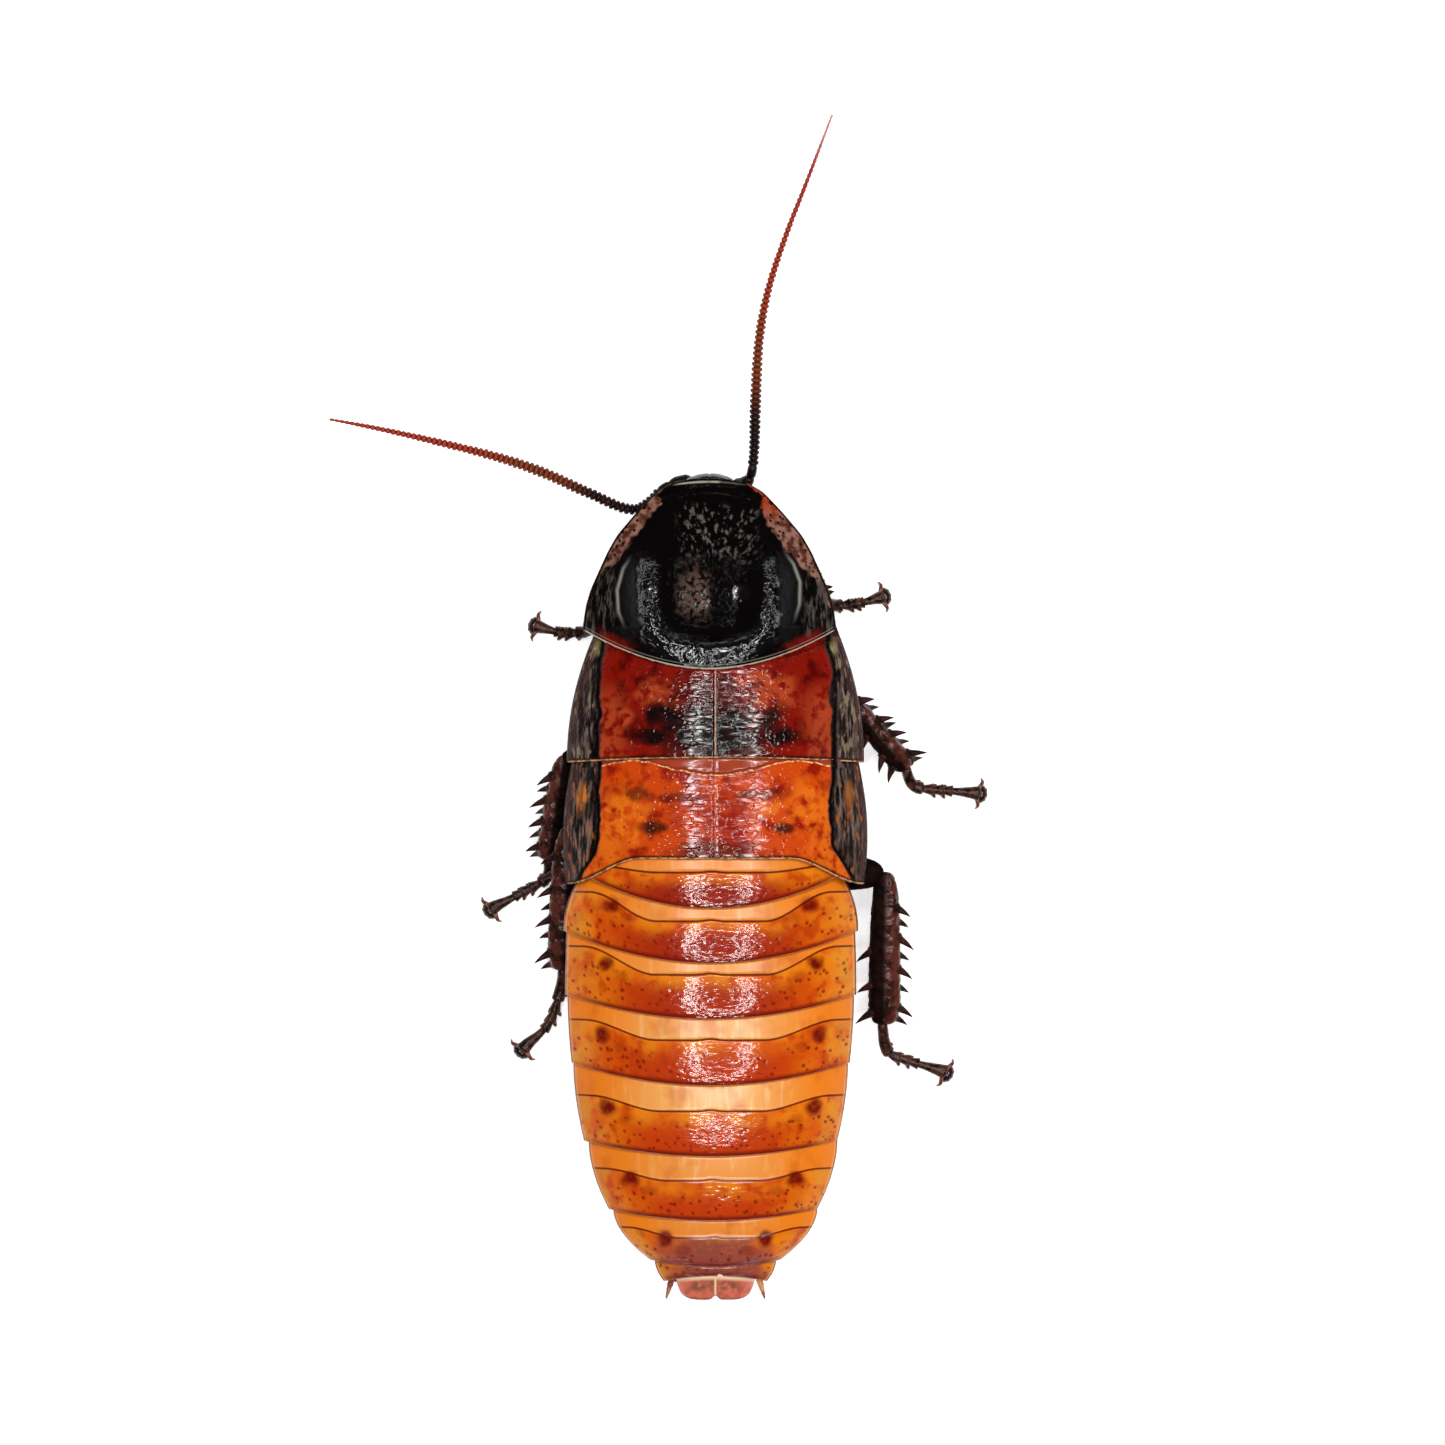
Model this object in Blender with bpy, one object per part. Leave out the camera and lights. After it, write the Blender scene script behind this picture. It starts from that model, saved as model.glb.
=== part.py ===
"""A male Madagascar hissing cockroach, standing at rest: a still model at life size.

All sizes are in millimetres until a node is made. x runs from the body's midline to the animal's left,
y from the front edge of the pronotum towards the tail, and z up from the floor.
"""

import math
import random
from collections import namedtuple

import bmesh
import bpy
from mathutils import Vector

MM = 0.001
GAP = 0.3
UP = Vector((0, 0, 1))
# Steps into which a curved route is divided before rings are set along it
FINE = 100

# Heights along the body, as (y, z): the crest of the back, the edges of the back plates and the belly
CREST = ((0, 8.5), (3, 10.3), (7, 11.8), (12, 12.6), (16, 12.8), (24, 13.3), (34, 13.6), (45, 13.8),
         (52, 13.5), (58, 12.5), (63, 10.9), (66.6, 9.2), (68, 8.3), (69.5, 7.3))
PLATE_EDGE = ((0, 7.8), (12.5, 6.6), (24, 6.35), (60, 6.2), (69.5, 6.0))
BELLY = ((0, 4.6), (35.5, 4.6), (36, 4.1), (41, 3.0), (46, 2.5), (57, 2.5), (62, 2.9), (67.5, 4.6))
PLATE_EDGE_THICK = 0.6
ARCH_POWER = 0.8
BAND_DROP = 0.45
LINE_DROP = 0.22
NARROWING = 1.8

# Pronotum: its half width along y, its rear margin, and the two blunt horns of a male
PRONOTUM_SHIFT = 0.3
PRONOTUM_WIDE = ((0, 3.2), (0.6, 4.3), (2.4, 5.9), (4.7, 7.8), (6.2, 8.65), (7.9, 9.4), (9.4, 10.05),
                 (10.8, 10.45), (12.6, 10.7))
PRONOTUM_REAR = (16.05, 12.7)
HORN_X = 5.4
HORN_Y = 9.6
HORN_RADIUS = 1.9
HORN_HEIGHT = 1.7
FLANGE_Y = 13.4
FLANGE_DROP = 0.55
FRONT_RIM = 0.35

# The back plates behind it. rear and line give y in the middle and at the sides: of the rear margin, and of
# the line where a plate's pale front band ends. wide is the half width at the front and at the rear corners.
Plate = namedtuple("Plate", "name shift rear line wide")
PLATES = (
    Plate("mesonotum", -0.2, (23.5, 23.9), None, (10.3, 12.55)),
    Plate("metanotum", -0.2, (32.0, 34.2), (25.1, 24.4), (12.1, 12.6)),
    Plate("tergite_1", 0.1, (36.2, 34.2), (32.9, 33.7), (9.5, 9.6)),
    Plate("tergite_2", 0.2, (40.8, 38.2), (37.2, 35.1), (11.3, 12.45)),
    Plate("tergite_3", 0.2, (45.5, 43.6), (41.8, 39.5), (12.2, 12.3)),
    Plate("tergite_4", 0.2, (51.1, 49.4), (47.3, 45.7), (12.1, 11.75)),
    Plate("tergite_5", 0.2, (57.1, 56.0), (53.3, 52.0), (11.6, 10.7)),
    Plate("tergite_6", 0.0, (62.6, 61.8), (59.2, 58.0), (10.5, 8.8)),
    Plate("tergite_7", -0.2, (66.6, 66.1), (64.1, 63.1), (8.6, 5.5)),
    Plate("tergite_8", -0.2, (67.4, 67.9), None, (5.1, 4.35)),
)
TAIL_PLATE_REAR = 69.5
TAIL_PLATE_WIDE = (3.35, 2.9)
TAIL_NOTCH = 0.35
TAIL_CORNER = 0.5

# The underside, from front to rear: name, y of the rear margin, half width there
PROSTERNUM_FRONT = 4.1
PROSTERNUM_WIDE = 3.4
STERNA = (
    ("prosternum", 15.7, 6.6),
    ("mesosternum", 24.0, 10.4),
    ("metasternum", 35.5, 10.9),
    ("sternite_2", 40.6, 11.2),
    ("sternite_3", 45.4, 11.1),
    ("sternite_4", 51.0, 10.6),
    ("sternite_5", 56.9, 9.6),
    ("sternite_6", 62.3, 7.7),
    ("sternite_7", 67.2, 2.4),
)
STERNUM_EDGE_THICK = 0.35
STERNUM_STEP = 0.25

# Head: rings from the mouth to the crown, as (z, half width, half depth, y of the middle)
HEAD_X = 0.3
HEAD_RINGS = ((1.5, 0.8, 0.5, 2.9), (2.1, 1.4, 0.9, 2.7), (3.0, 2.0, 1.3, 2.4), (4.0, 2.6, 1.7, 2.1),
              (5.0, 3.05, 2.0, 1.75), (5.9, 3.0, 2.05, 1.55), (6.6, 2.4, 1.7, 1.5), (7.0, 1.5, 1.1, 1.5))
EYE_AT = (2.7, 2.0, 5.2)
EYE_HALF = (0.85, 0.85, 1.3)
LABRUM_AT = (0.0, 1.75, 2.1)
LABRUM_HALF = (0.85, 0.45, 0.8)
MANDIBLE_AT = (1.05, 2.2, 2.1)
MANDIBLE_HALF = (0.5, 0.7, 0.75)

# Antennae: points of each route from the head outwards, its radii there, and where its lengths part
ANTENNAE = {
    "left": (((1.9, -0.1, 4.8), (4.0, 0.6, 5.3), (6.7, 2.5, 6.0), (10.6, 1.1, 6.9), (14.2, -0.5, 7.6),
              (18.0, -1.8, 8.0), (23.1, -3.1, 8.1), (28.4, -4.3, 7.7), (32.5, -5.1, 7.1)),
             (0.45, 0.42, 0.40, 0.38, 0.38, 0.34, 0.27, 0.18, 0.09)),
    "right": (((-1.7, 0.4, 4.8), (-3.0, 0.0, 5.5), (-3.45, -2.0, 6.5), (-3.6, -6.7, 8.0), (-3.9, -11.8, 8.6),
               (-4.7, -16.1, 8.8), (-6.2, -20.7, 8.6), (-7.9, -25.1, 8.1), (-10.1, -30.9, 7.3)),
              (0.45, 0.42, 0.40, 0.40, 0.36, 0.30, 0.25, 0.18, 0.09)),
}
ANTENNA_PARTS = (("base", 0.0, 0.09), ("inner", 0.09, 0.5), ("outer", 0.5, 1.0))
BEAD_PITCH = 0.65
BEAD_WAIST = 0.78
# The antenna's root joints, as (place along the base, share of its radius): a stout scape, then a pedicel
SCAPE = ((0, 0.7), (0.12, 1.15), (0.45, 1.25), (0.58, 1.0), (0.62, 0.75), (0.7, 0.95), (0.92, 0.95), (1, 0.75))

# Palps beside the mouth and cerci at the tail, as points and radii
PALP = (((1.9, 2.5, 2.6), (2.7, 1.7, 2.3), (3.1, 0.9, 1.5), (3.0, 0.5, 0.7)), (0.28, 0.3, 0.3, 0.26))
LIP_PALP = (((0.6, 3.0, 2.0), (1.0, 3.5, 1.4), (1.1, 3.3, 0.8)), (0.28, 0.27, 0.25))
CERCUS = (((3.5, 66.9, 5.35), (3.8, 68.1, 5.45), (4.2, 69.5, 5.6)), (0.36, 0.3, 0.1))

# Legs: where each joint of a leg lies. The claws and pads of a foot lie past the end of its last joint.
Leg = namedtuple("Leg", "coxa trochanter knee ankle tarsus pad")
LEGS = {
    "front_left": Leg((1.9, 10.6, 3.9), (4.6, 14.6, 3.2), (6.6, 8.6, 4.2), (10.2, 12.6, 2.3),
                      ((11.2, 12.9, 1.2), (13.0, 12.9, 0.75), (14.6, 12.5, 0.7)), (15.3, 12.3)),
    "front_right": Leg((-1.9, 8.4, 3.9), (-4.6, 12.2, 3.2), (-6.0, 6.0, 4.2), (-9.5, 10.2, 2.3),
                       ((-10.5, 10.6, 1.2), (-12.5, 10.4, 0.75), (-14.0, 10.0, 0.7)), (-14.7, 9.8)),
    "middle_left": Leg((2.4, 19.8, 3.8), (4.8, 25.2, 3.3), (12.7, 23.6, 4.4), (14.1, 32.1, 2.0),
                       ((14.2, 33.8, 1.1), (16.7, 35.3, 0.75), (18.6, 36.3, 0.7)), (19.1, 36.7)),
    "middle_right": Leg((-2.4, 18.8, 3.8), (-4.8, 24.0, 3.3), (-10.9, 18.0, 4.4), (-16.4, 24.4, 2.0),
                        ((-17.2, 26.0, 1.1), (-20.0, 26.4, 0.75), (-22.4, 26.6, 0.7)), (-22.9, 26.7)),
    "hind_left": Leg((2.4, 27.4, 3.8), (4.7, 33.5, 3.3), (12.3, 29.6, 4.5), (12.8, 41.5, 1.9),
                     ((13.0, 43.3, 1.1), (14.0, 46.2, 0.75), (15.9, 48.1, 0.7)), (16.4, 48.7)),
    "hind_right": Leg((-2.4, 27.0, 3.8), (-5.0, 32.8, 3.3), (-14.3, 33.5, 4.5), (-14.4, 46.1, 1.9),
                      ((-14.9, 48.6, 1.1), (-16.9, 49.5, 0.75), (-19.5, 50.3, 0.7)), (-20.0, 50.6)),
}
COXA_TOP = 4.3
# Half width and half thickness of the thickest part of the coxa, femur and tibia
LEG_SIZES = {
    "front": ((1.35, 0.75), (1.2, 0.75), (0.8, 0.7)),
    "middle": ((1.6, 0.9), (1.45, 0.85), (1.0, 0.75)),
    "hind": ((1.75, 0.9), (1.7, 0.9), (1.18, 0.8)),
}
# Feet: the pad between the claws stands on the floor, and is wider across the foot than along it
TARSUS_PROFILE = ((0, 0.34), (0.13, 0.44), (0.16, 0.31), (0.27, 0.42), (0.3, 0.29), (0.39, 0.4), (0.42, 0.29),
                  (0.5, 0.38), (0.53, 0.26), (0.72, 0.29), (0.92, 0.45), (1, 0.4))
LOBE_PLACES = (0.15, 0.28, 0.4, 0.51)
LOBE_REACH = (0.25, 0.5, 0.42)
LOBE_FLOOR = 0.08
PAD_HALF = (0.45, 0.75)
PAD_HEIGHT = 0.85
PAD_RINGS = ((0, 0.8), (0.3, 1.0), (0.75, 0.85), (1.0, 0.45))
CLAW_SPREAD = 1.15

# Spines of the tibiae and femora: for each row, the way that it faces round the limb (0 is away from the body,
# 90 is up, 180 is towards the body), its places along the limb, and the length that shows in millimetres
SPINE_ROWS = {
    "front_tibia": ((12, (0.3, 0.55, 0.82), 0.8), (-25, (0.42, 0.7, 0.95), 0.7),
                    (172, (0.78, 0.94), 0.6), (80, (0.5, 0.8), 0.5)),
    "tibia": ((12, (0.18, 0.43, 0.65, 0.88), 1.35), (-25, (0.3, 0.54, 0.77, 0.96), 1.0),
              (172, (0.5, 0.74, 0.92), 1.1), (80, (0.34, 0.6, 0.84), 0.8), (-110, (0.66, 0.93), 0.9)),
    "femur": ((-62, (0.45, 0.7), 0.6), (-118, (0.6,), 0.5)),
}
SPINE_RADIUS = 0.27
SPINE_LEAN = 0.8
SPINE_SEED = 7

COLOURS = {
    "black": ((0.012, 0.010, 0.010, 1), 0.3),
    "dark_red": ((0.16, 0.02, 0.01, 1), 0.3),
    "amber": ((0.62, 0.16, 0.02, 1), 0.3),
    "underside": ((0.30, 0.12, 0.04, 1), 0.4),
    "leg": ((0.05, 0.015, 0.01, 1), 0.4),
    "feeler": ((0.28, 0.03, 0.015, 1), 0.4),
    "eye": ((0.006, 0.006, 0.007, 1), 0.15),
}


def at(table, y):
    """The value at y of a table of (y, value), by straight lines between its entries."""
    if y <= table[0][0]:
        return table[0][1]
    for (low, first), (high, last) in zip(table, table[1:]):
        if y <= high:
            return first + (last - first) * (y - low) / (high - low)
    return table[-1][1]


def smooth_step(t):
    t = min(max(t, 0.0), 1.0)
    return t * t * (3 - 2 * t)


def across(count):
    """Places from one side to the other, as -1 to 1, closer together towards the sides."""
    return [math.sin(math.pi * (i / (count - 1) - 0.5)) for i in range(count)]


def curve_points(points, values, count):
    """count points at even spacing on a smooth curve through the given points, and the values along it."""
    points = [Vector(point) for point in points]
    fine = []
    for i in range(len(points) - 1):
        before, after = points[max(i - 1, 0)], points[min(i + 2, len(points) - 1)]
        start, end = points[i], points[i + 1]
        for step in range(12):
            t = step / 12
            place = 0.5 * (2 * start + (end - before) * t
                           + (2 * before - 5 * start + 4 * end - after) * t * t
                           + (3 * start - before - 3 * end + after) * t ** 3)
            fine.append((place, values[i] + (values[i + 1] - values[i]) * t))
    fine.append((points[-1], values[-1]))
    lengths = [0.0]
    for (first, _), (last, _) in zip(fine, fine[1:]):
        lengths.append(lengths[-1] + (last - first).length)
    found = []
    for k in range(count):
        goal = lengths[-1] * k / (count - 1)
        i = min(next(j for j in range(1, len(lengths)) if lengths[j] >= goal - 1e-9), len(fine) - 1)
        t = (goal - lengths[i - 1]) / (lengths[i] - lengths[i - 1])
        found.append((fine[i - 1][0].lerp(fine[i][0], t), fine[i - 1][1] * (1 - t) + fine[i][1] * t))
    return [place for place, _ in found], [value for _, value in found]


def along_route(places, sizes, share):
    """The place and size at a share of the way along evenly spaced places."""
    exact = share * (len(places) - 1)
    i = min(int(exact), len(places) - 2)
    part = exact - i
    return places[i].lerp(places[i + 1], part), sizes[i] * (1 - part) + sizes[i + 1] * part


def loft(rings):
    """A closed skin over rings of points. An end ring of one point is a tip, and any other end is one face."""
    bm = bmesh.new()
    rows = [[bm.verts.new(point) for point in ring] for ring in rings]
    for low, high in zip(rows, rows[1:]):
        for i in range(max(len(low), len(high))):
            j = (i + 1) % max(len(low), len(high))
            corners = [low[i % len(low)], low[j % len(low)], high[j % len(high)], high[i % len(high)]]
            bm.faces.new(list(dict.fromkeys(corners)))
    for row in (rows[0], rows[-1]):
        if len(row) > 1:
            bm.faces.new(row)
    bmesh.ops.recalc_face_normals(bm, faces=bm.faces)
    return bm


def slab(grid, base):
    """A closed solid between a curved grid of points and the flat base below or above it, at height base(y)."""
    bm = bmesh.new()
    rows = [[bm.verts.new(point) for point in row] for row in grid]
    for low, high in zip(rows, rows[1:]):
        for i in range(len(low) - 1):
            bm.faces.new((low[i], low[i + 1], high[i + 1], high[i]))
    rim = rows[0] + [row[-1] for row in rows[1:-1]] + rows[-1][::-1] + [row[0] for row in rows[-2:0:-1]]
    feet = [bm.verts.new((vert.co.x, vert.co.y, base(vert.co.y))) for vert in rim]
    for i in range(len(rim)):
        j = (i + 1) % len(rim)
        bm.faces.new((rim[i], rim[j], feet[j], feet[i]))
    bm.faces.new(feet)
    bmesh.ops.recalc_face_normals(bm, faces=bm.faces)
    return bm


def limb_rings(points, sizes, sides):
    """Upright oval rings round the points, each with its half width and half thickness."""
    points = [Vector(point) for point in points]
    rings = []
    for i, (point, (wide, thick)) in enumerate(zip(points, sizes)):
        along = (points[min(i + 1, len(points) - 1)] - points[max(i - 1, 0)]).normalized()
        side = along.cross(UP).normalized()
        over = side.cross(along)
        angles = [2 * math.pi * (k + 0.5) / sides for k in range(sides)]
        rings.append([point + side * wide * math.cos(a) + over * thick * math.sin(a) for a in angles])
    return rings


def limb(start, end, profile, size, sides=8, swell=0.0):
    """A straight limb whose profile lists (place along it, share of the full size), grown all over by swell."""
    start, end = Vector(start), Vector(end)
    along = (end - start).normalized()
    places = [share for share, _ in profile]
    points = [start.lerp(end, share) for share in places]
    points[0] -= along * swell
    points[-1] += along * swell
    sizes = [(size[0] * share + swell, size[1] * share + swell) for _, share in profile]
    return loft(limb_rings(points, sizes, sides))


def add_node(bm, name, colour, collection):
    """The bmesh, in millimetres, as an object with its origin at its middle."""
    low = Vector([min(vert.co[i] for vert in bm.verts) for i in range(3)])
    high = Vector([max(vert.co[i] for vert in bm.verts) for i in range(3)])
    middle = (low + high) / 2
    bmesh.ops.translate(bm, verts=bm.verts, vec=-middle)
    bmesh.ops.scale(bm, verts=bm.verts, vec=(MM, MM, MM))
    mesh = bpy.data.meshes.new(name)
    bm.to_mesh(mesh)
    bm.free()
    mesh.shade_smooth()
    mesh.set_sharp_from_angle(angle=math.radians(40))
    mesh.materials.append(bpy.data.materials[colour])
    node = bpy.data.objects.new(name, mesh)
    node.location = middle * MM
    collection.objects.link(node)
    return node


def keep_largest(mesh):
    """Drops every closed surface of the mesh but the one that holds most."""
    bm = bmesh.new()
    bm.from_mesh(mesh)
    left, bodies = set(bm.faces), []
    while left:
        body, edge = set(), [left.pop()]
        while edge:
            face = edge.pop()
            body.add(face)
            near = {other for side in face.edges for other in side.link_faces} & left
            left -= near
            edge.extend(near)
        bodies.append(body)

    def holds(body):
        return sum(face.calc_center_median().dot(face.normal) * face.calc_area() for face in body)

    bodies.sort(key=holds)
    bmesh.ops.delete(bm, geom=[face for body in bodies[:-1] for face in body], context="FACES")
    bm.to_mesh(mesh)
    bm.free()


def combine(node, bms, operation, cutters):
    """Joins the bmeshes to the node, or cuts them from it, with one Boolean that is applied."""
    pieces = bpy.data.collections.new("pieces")
    cutters.children.link(pieces)
    for bm in bms:
        add_node(bm, "piece", "leg", pieces)
    boolean = node.modifiers.new(operation.title(), "BOOLEAN")
    boolean.operation = operation
    boolean.operand_type = "COLLECTION"
    boolean.collection = pieces
    boolean.solver = "EXACT"
    graph = bpy.context.evaluated_depsgraph_get()
    mesh = bpy.data.meshes.new_from_object(node.evaluated_get(graph))
    node.modifiers.clear()
    keep_largest(mesh)
    node.data = mesh
    mesh.name = node.name
    for piece in list(pieces.objects):
        bpy.data.objects.remove(piece)
    bpy.data.collections.remove(pieces)


def rear_of(plate, x):
    """y of a plate's rear margin at x. The metanotum's is straight in the middle and runs back at the sides."""
    t = min(abs(x - plate.shift) / plate.wide[1], 1.0)
    bow = smooth_step((t - 0.5) / 0.5) if plate.name == "metanotum" else t * t
    return plate.rear[0] + (plate.rear[1] - plate.rear[0]) * bow


def width_along(plate, share):
    """Half width of a plate along it. Its sides bulge outwards whether it widens or narrows to the rear."""
    first, last = plate.wide
    bulge = 1 - (1 - share) ** 2 if last > first else share ** NARROWING
    return first + (last - first) * bulge


def pronotum_rear(x):
    t = min(abs(x - PRONOTUM_SHIFT) / PRONOTUM_WIDE[-1][1], 1.0)
    return PRONOTUM_REAR[0] + (PRONOTUM_REAR[1] - PRONOTUM_REAR[0]) * t ** 1.9


def arch(t, low, high):
    """Height at t, from -1 at one edge of a plate to 1 at the other."""
    return low + (high - low) * max(1 - t * t, 0.0) ** ARCH_POWER


def base_plane(front, rear):
    """The flat underside of a plate: a plane through the heights of its edge at its front and rear."""
    low, high = at(PLATE_EDGE, front), at(PLATE_EDGE, rear)
    return lambda y: low + (high - low) * (y - front) / (rear - front)


def pronotum_top(t, x, y, edge):
    """Height of the pronotum: a dome with flat side strips, horns, a raised rear flange and a front rim."""
    dome = edge + (at(CREST, y) - edge) * max(1 - abs(t) ** 2.3, 0.0) ** 1.05
    horn = 0.0
    for side in (-1, 1):
        away = math.hypot(x - PRONOTUM_SHIFT - side * HORN_X, (y - HORN_Y) * 0.75)
        horn += math.exp(-(away / HORN_RADIUS) ** 2)
    valley = math.exp(-((y - FLANGE_Y + 0.6) / 0.8) ** 2) * (1 - t ** 4)
    rim = math.exp(-(y / 0.5) ** 2) * (1 - t ** 4)
    return dome + HORN_HEIGHT * horn - FLANGE_DROP * valley + FRONT_RIM * rim


def make_pronotum(collection):
    base = base_plane(0, PRONOTUM_REAR[0])
    side_end = PRONOTUM_WIDE[-1][0]
    grid = []
    for v in (0, 0.05, 0.12, 0.22, 0.34, 0.46, 0.57, 0.67, 0.76, 0.83, 0.90, 1.0):
        wide = at(PRONOTUM_WIDE, v * side_end)
        row = []
        for t in across(17):
            x = PRONOTUM_SHIFT + t * wide
            y = v * pronotum_rear(PRONOTUM_SHIFT + t * PRONOTUM_WIDE[-1][1])
            row.append((x, y, pronotum_top(t, x, y, base(y) + PLATE_EDGE_THICK)))
        grid.append(row)
    add_node(slab(grid, base), "pronotum", "black", collection)


def plate_rows(plate, front_mid, front_side):
    """Rows of a plate as (share from its front to its rear margin at the middle, at the sides, drop)."""
    if plate.line is None:
        return [(0, 0, BAND_DROP * 0.5), (0.35, 0.35, 0.1), (0.7, 0.7, 0.0), (1, 1, 0.0)]
    mid = (plate.line[0] - front_mid) / (plate.rear[0] - front_mid)
    side = (plate.line[1] - front_side) / (plate.rear[1] - front_side)
    rows = [(0, 0, BAND_DROP), (mid * 0.85, side * 0.85, BAND_DROP), (mid, side, LINE_DROP)]
    for share, drop in ((0.5, 0.1), (1.0, 0.0)):
        rows.append((mid + (1 - mid) * share, side + (1 - side) * share, drop))
    return rows


def make_back_plates(collection):
    colours = {"mesonotum": "dark_red", "metanotum": "dark_red"}
    rears = [pronotum_rear]
    for plate in PLATES:
        def front_of(x):
            return max(rear(x) for rear in rears) + GAP
        middle = front_of(plate.shift)
        base = base_plane(middle, plate.rear[0])
        grid = []
        for mid, side, drop in plate_rows(plate, middle, front_of(plate.shift + plate.wide[0])):
            row = []
            for t in across(15):
                share = mid + (side - mid) * t * t
                wide = width_along(plate, share)
                front = front_of(plate.shift + t * plate.wide[0])
                y = front + (rear_of(plate, plate.shift + t * plate.wide[1]) - front) * share
                low = base(y) + PLATE_EDGE_THICK
                row.append((plate.shift + t * wide, y, arch(t, low, at(CREST, y) - drop)))
            grid.append(row)
        add_node(slab(grid, base), plate.name, colours.get(plate.name, "amber"), collection)
        rears.append(lambda x, plate=plate: rear_of(plate, x))


def make_tail_plate(collection):
    """The supra-anal plate, which ends in two lobes."""
    last = PLATES[-1]
    base = base_plane(last.rear[0], TAIL_PLATE_REAR)
    grid = []
    for v in (0, 0.5, 1):
        wide = TAIL_PLATE_WIDE[0] + (TAIL_PLATE_WIDE[1] - TAIL_PLATE_WIDE[0]) * v * v
        row = []
        for t in across(13):
            x = last.shift + t * wide
            front = rear_of(last, last.shift + t * TAIL_PLATE_WIDE[0]) + GAP
            notch = TAIL_NOTCH * math.exp(-(t / 0.15) ** 2) + TAIL_CORNER * t ** 6
            y = front + (TAIL_PLATE_REAR - notch - front) * v
            low = base(y) + PLATE_EDGE_THICK
            row.append((x, y, arch(t, low, at(CREST, y))))
        grid.append(row)
    add_node(slab(grid, base), "supra_anal_plate", "amber", collection)


def make_underside(collection):
    front, front_wide = PROSTERNUM_FRONT, PROSTERNUM_WIDE
    for name, rear, rear_wide in STERNA:
        def base(y):
            return at(PLATE_EDGE, y) - GAP - 0.05
        low, high = base(front), base(rear)

        def plane(y, low=low, high=high, front=front, rear=rear):
            return low + (high - low) * (y - front) / (rear - front)
        flat = 4 if name.endswith("sternum") else 2
        grid = []
        for v in (0, 0.5, 1):
            y = front + (rear - front) * v
            wide = front_wide + (rear_wide - front_wide) * v
            row = []
            for t in across(11):
                edge = plane(y) - STERNUM_EDGE_THICK
                deep = at(BELLY, y) + STERNUM_STEP * (1 - v)
                row.append((t * wide, y, edge + (deep - edge) * max(1 - abs(t) ** flat, 0.0) ** 0.7))
            grid.append(row)
        add_node(slab(grid, plane), name, "underside", collection)
        front, front_wide = rear + GAP, rear_wide


def head_skin(swell=0.0):
    rings = []
    for i, (z, wide, deep, y) in enumerate(HEAD_RINGS):
        height = z + swell * {0: -1, len(HEAD_RINGS) - 1: 1}.get(i, 0)
        angles = [2 * math.pi * k / 12 for k in range(12)]
        rings.append([(HEAD_X + (wide + swell) * math.cos(a), y + (deep + swell) * math.sin(a), height)
                      for a in angles])
    return loft(rings)


def ball(middle, half, steps=8):
    bm = bmesh.new()
    bmesh.ops.create_uvsphere(bm, u_segments=steps + 2, v_segments=steps, radius=1)
    bmesh.ops.scale(bm, verts=bm.verts, vec=half)
    bmesh.ops.translate(bm, verts=bm.verts, vec=middle)
    return bm


def feeler(points, radii, count, sides=6):
    """A thin tapered limb along a smooth curve."""
    places, sizes = curve_points(points, radii, count)
    return loft(limb_rings(places, [(size, size) for size in sizes], sides))


def mirrored(points, side):
    return [(x * side, y, z) for x, y, z in points]


def make_head(collection, cutters):
    head = add_node(head_skin(), "head", "black", collection)
    mouth = [ball((HEAD_X, *LABRUM_AT[1:]), LABRUM_HALF, 6)]
    for side in (-1, 1):
        mouth.append(feeler(mirrored(LIP_PALP[0], side), LIP_PALP[1], 4))
        mouth.append(ball((HEAD_X + side * MANDIBLE_AT[0], *MANDIBLE_AT[1:]), MANDIBLE_HALF, 6))
    combine(head, mouth, "UNION", cutters)
    for word, side in (("left", 1), ("right", -1)):
        x, y, z = EYE_AT
        eye = add_node(ball((HEAD_X + side * x, y, z), EYE_HALF), f"eye_{word}", "eye", collection)
        combine(eye, [head_skin(GAP)], "DIFFERENCE", cutters)
        palp = feeler(mirrored(PALP[0], side), PALP[1], 7)
        palp = add_node(palp, f"palp_{word}", "leg", collection)
        combine(palp, [head_skin(GAP)], "DIFFERENCE", cutters)


def antenna_stations(part, start, end, length):
    """The rings of one length of an antenna, as (place along the whole antenna, share of its radius there)."""
    if part == "base":
        return [(start + (end - start) * place, share) for place, share in SCAPE]
    beads = round((end - start) * length / BEAD_PITCH)
    rings = []
    for bead in range(beads):
        for place, share in ((0.12, BEAD_WAIST), (0.55, 1.0)):
            rings.append((start + (end - start) * (bead + place) / beads, share))
    return rings + [(end, BEAD_WAIST)]


def make_antennae(collection, cutters):
    for word, (points, radii) in ANTENNAE.items():
        places, sizes = curve_points(points, radii, FINE + 1)
        length = sum((b - a).length for a, b in zip(places, places[1:]))
        for part, start, end in ANTENNA_PARTS:
            line, rings = [], []
            for share, scale in antenna_stations(part, start + (GAP / length if start else 0), end, length):
                place, radius = along_route(places, sizes, share)
                line.append(place)
                rings.append((radius * scale, radius * scale))
            node = add_node(loft(limb_rings(line, rings, 6)), f"antenna_{word}_{part}", "feeler", collection)
            if part == "base":
                combine(node, [head_skin(GAP)], "DIFFERENCE", cutters)


def make_cerci(collection):
    for word, side in (("left", 1), ("right", -1)):
        points = [(x + PLATES[-1].shift, y, z) for x, y, z in mirrored(CERCUS[0], side)]
        add_node(feeler(points, CERCUS[1], 5), f"cercus_{word}", "amber", collection)


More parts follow.
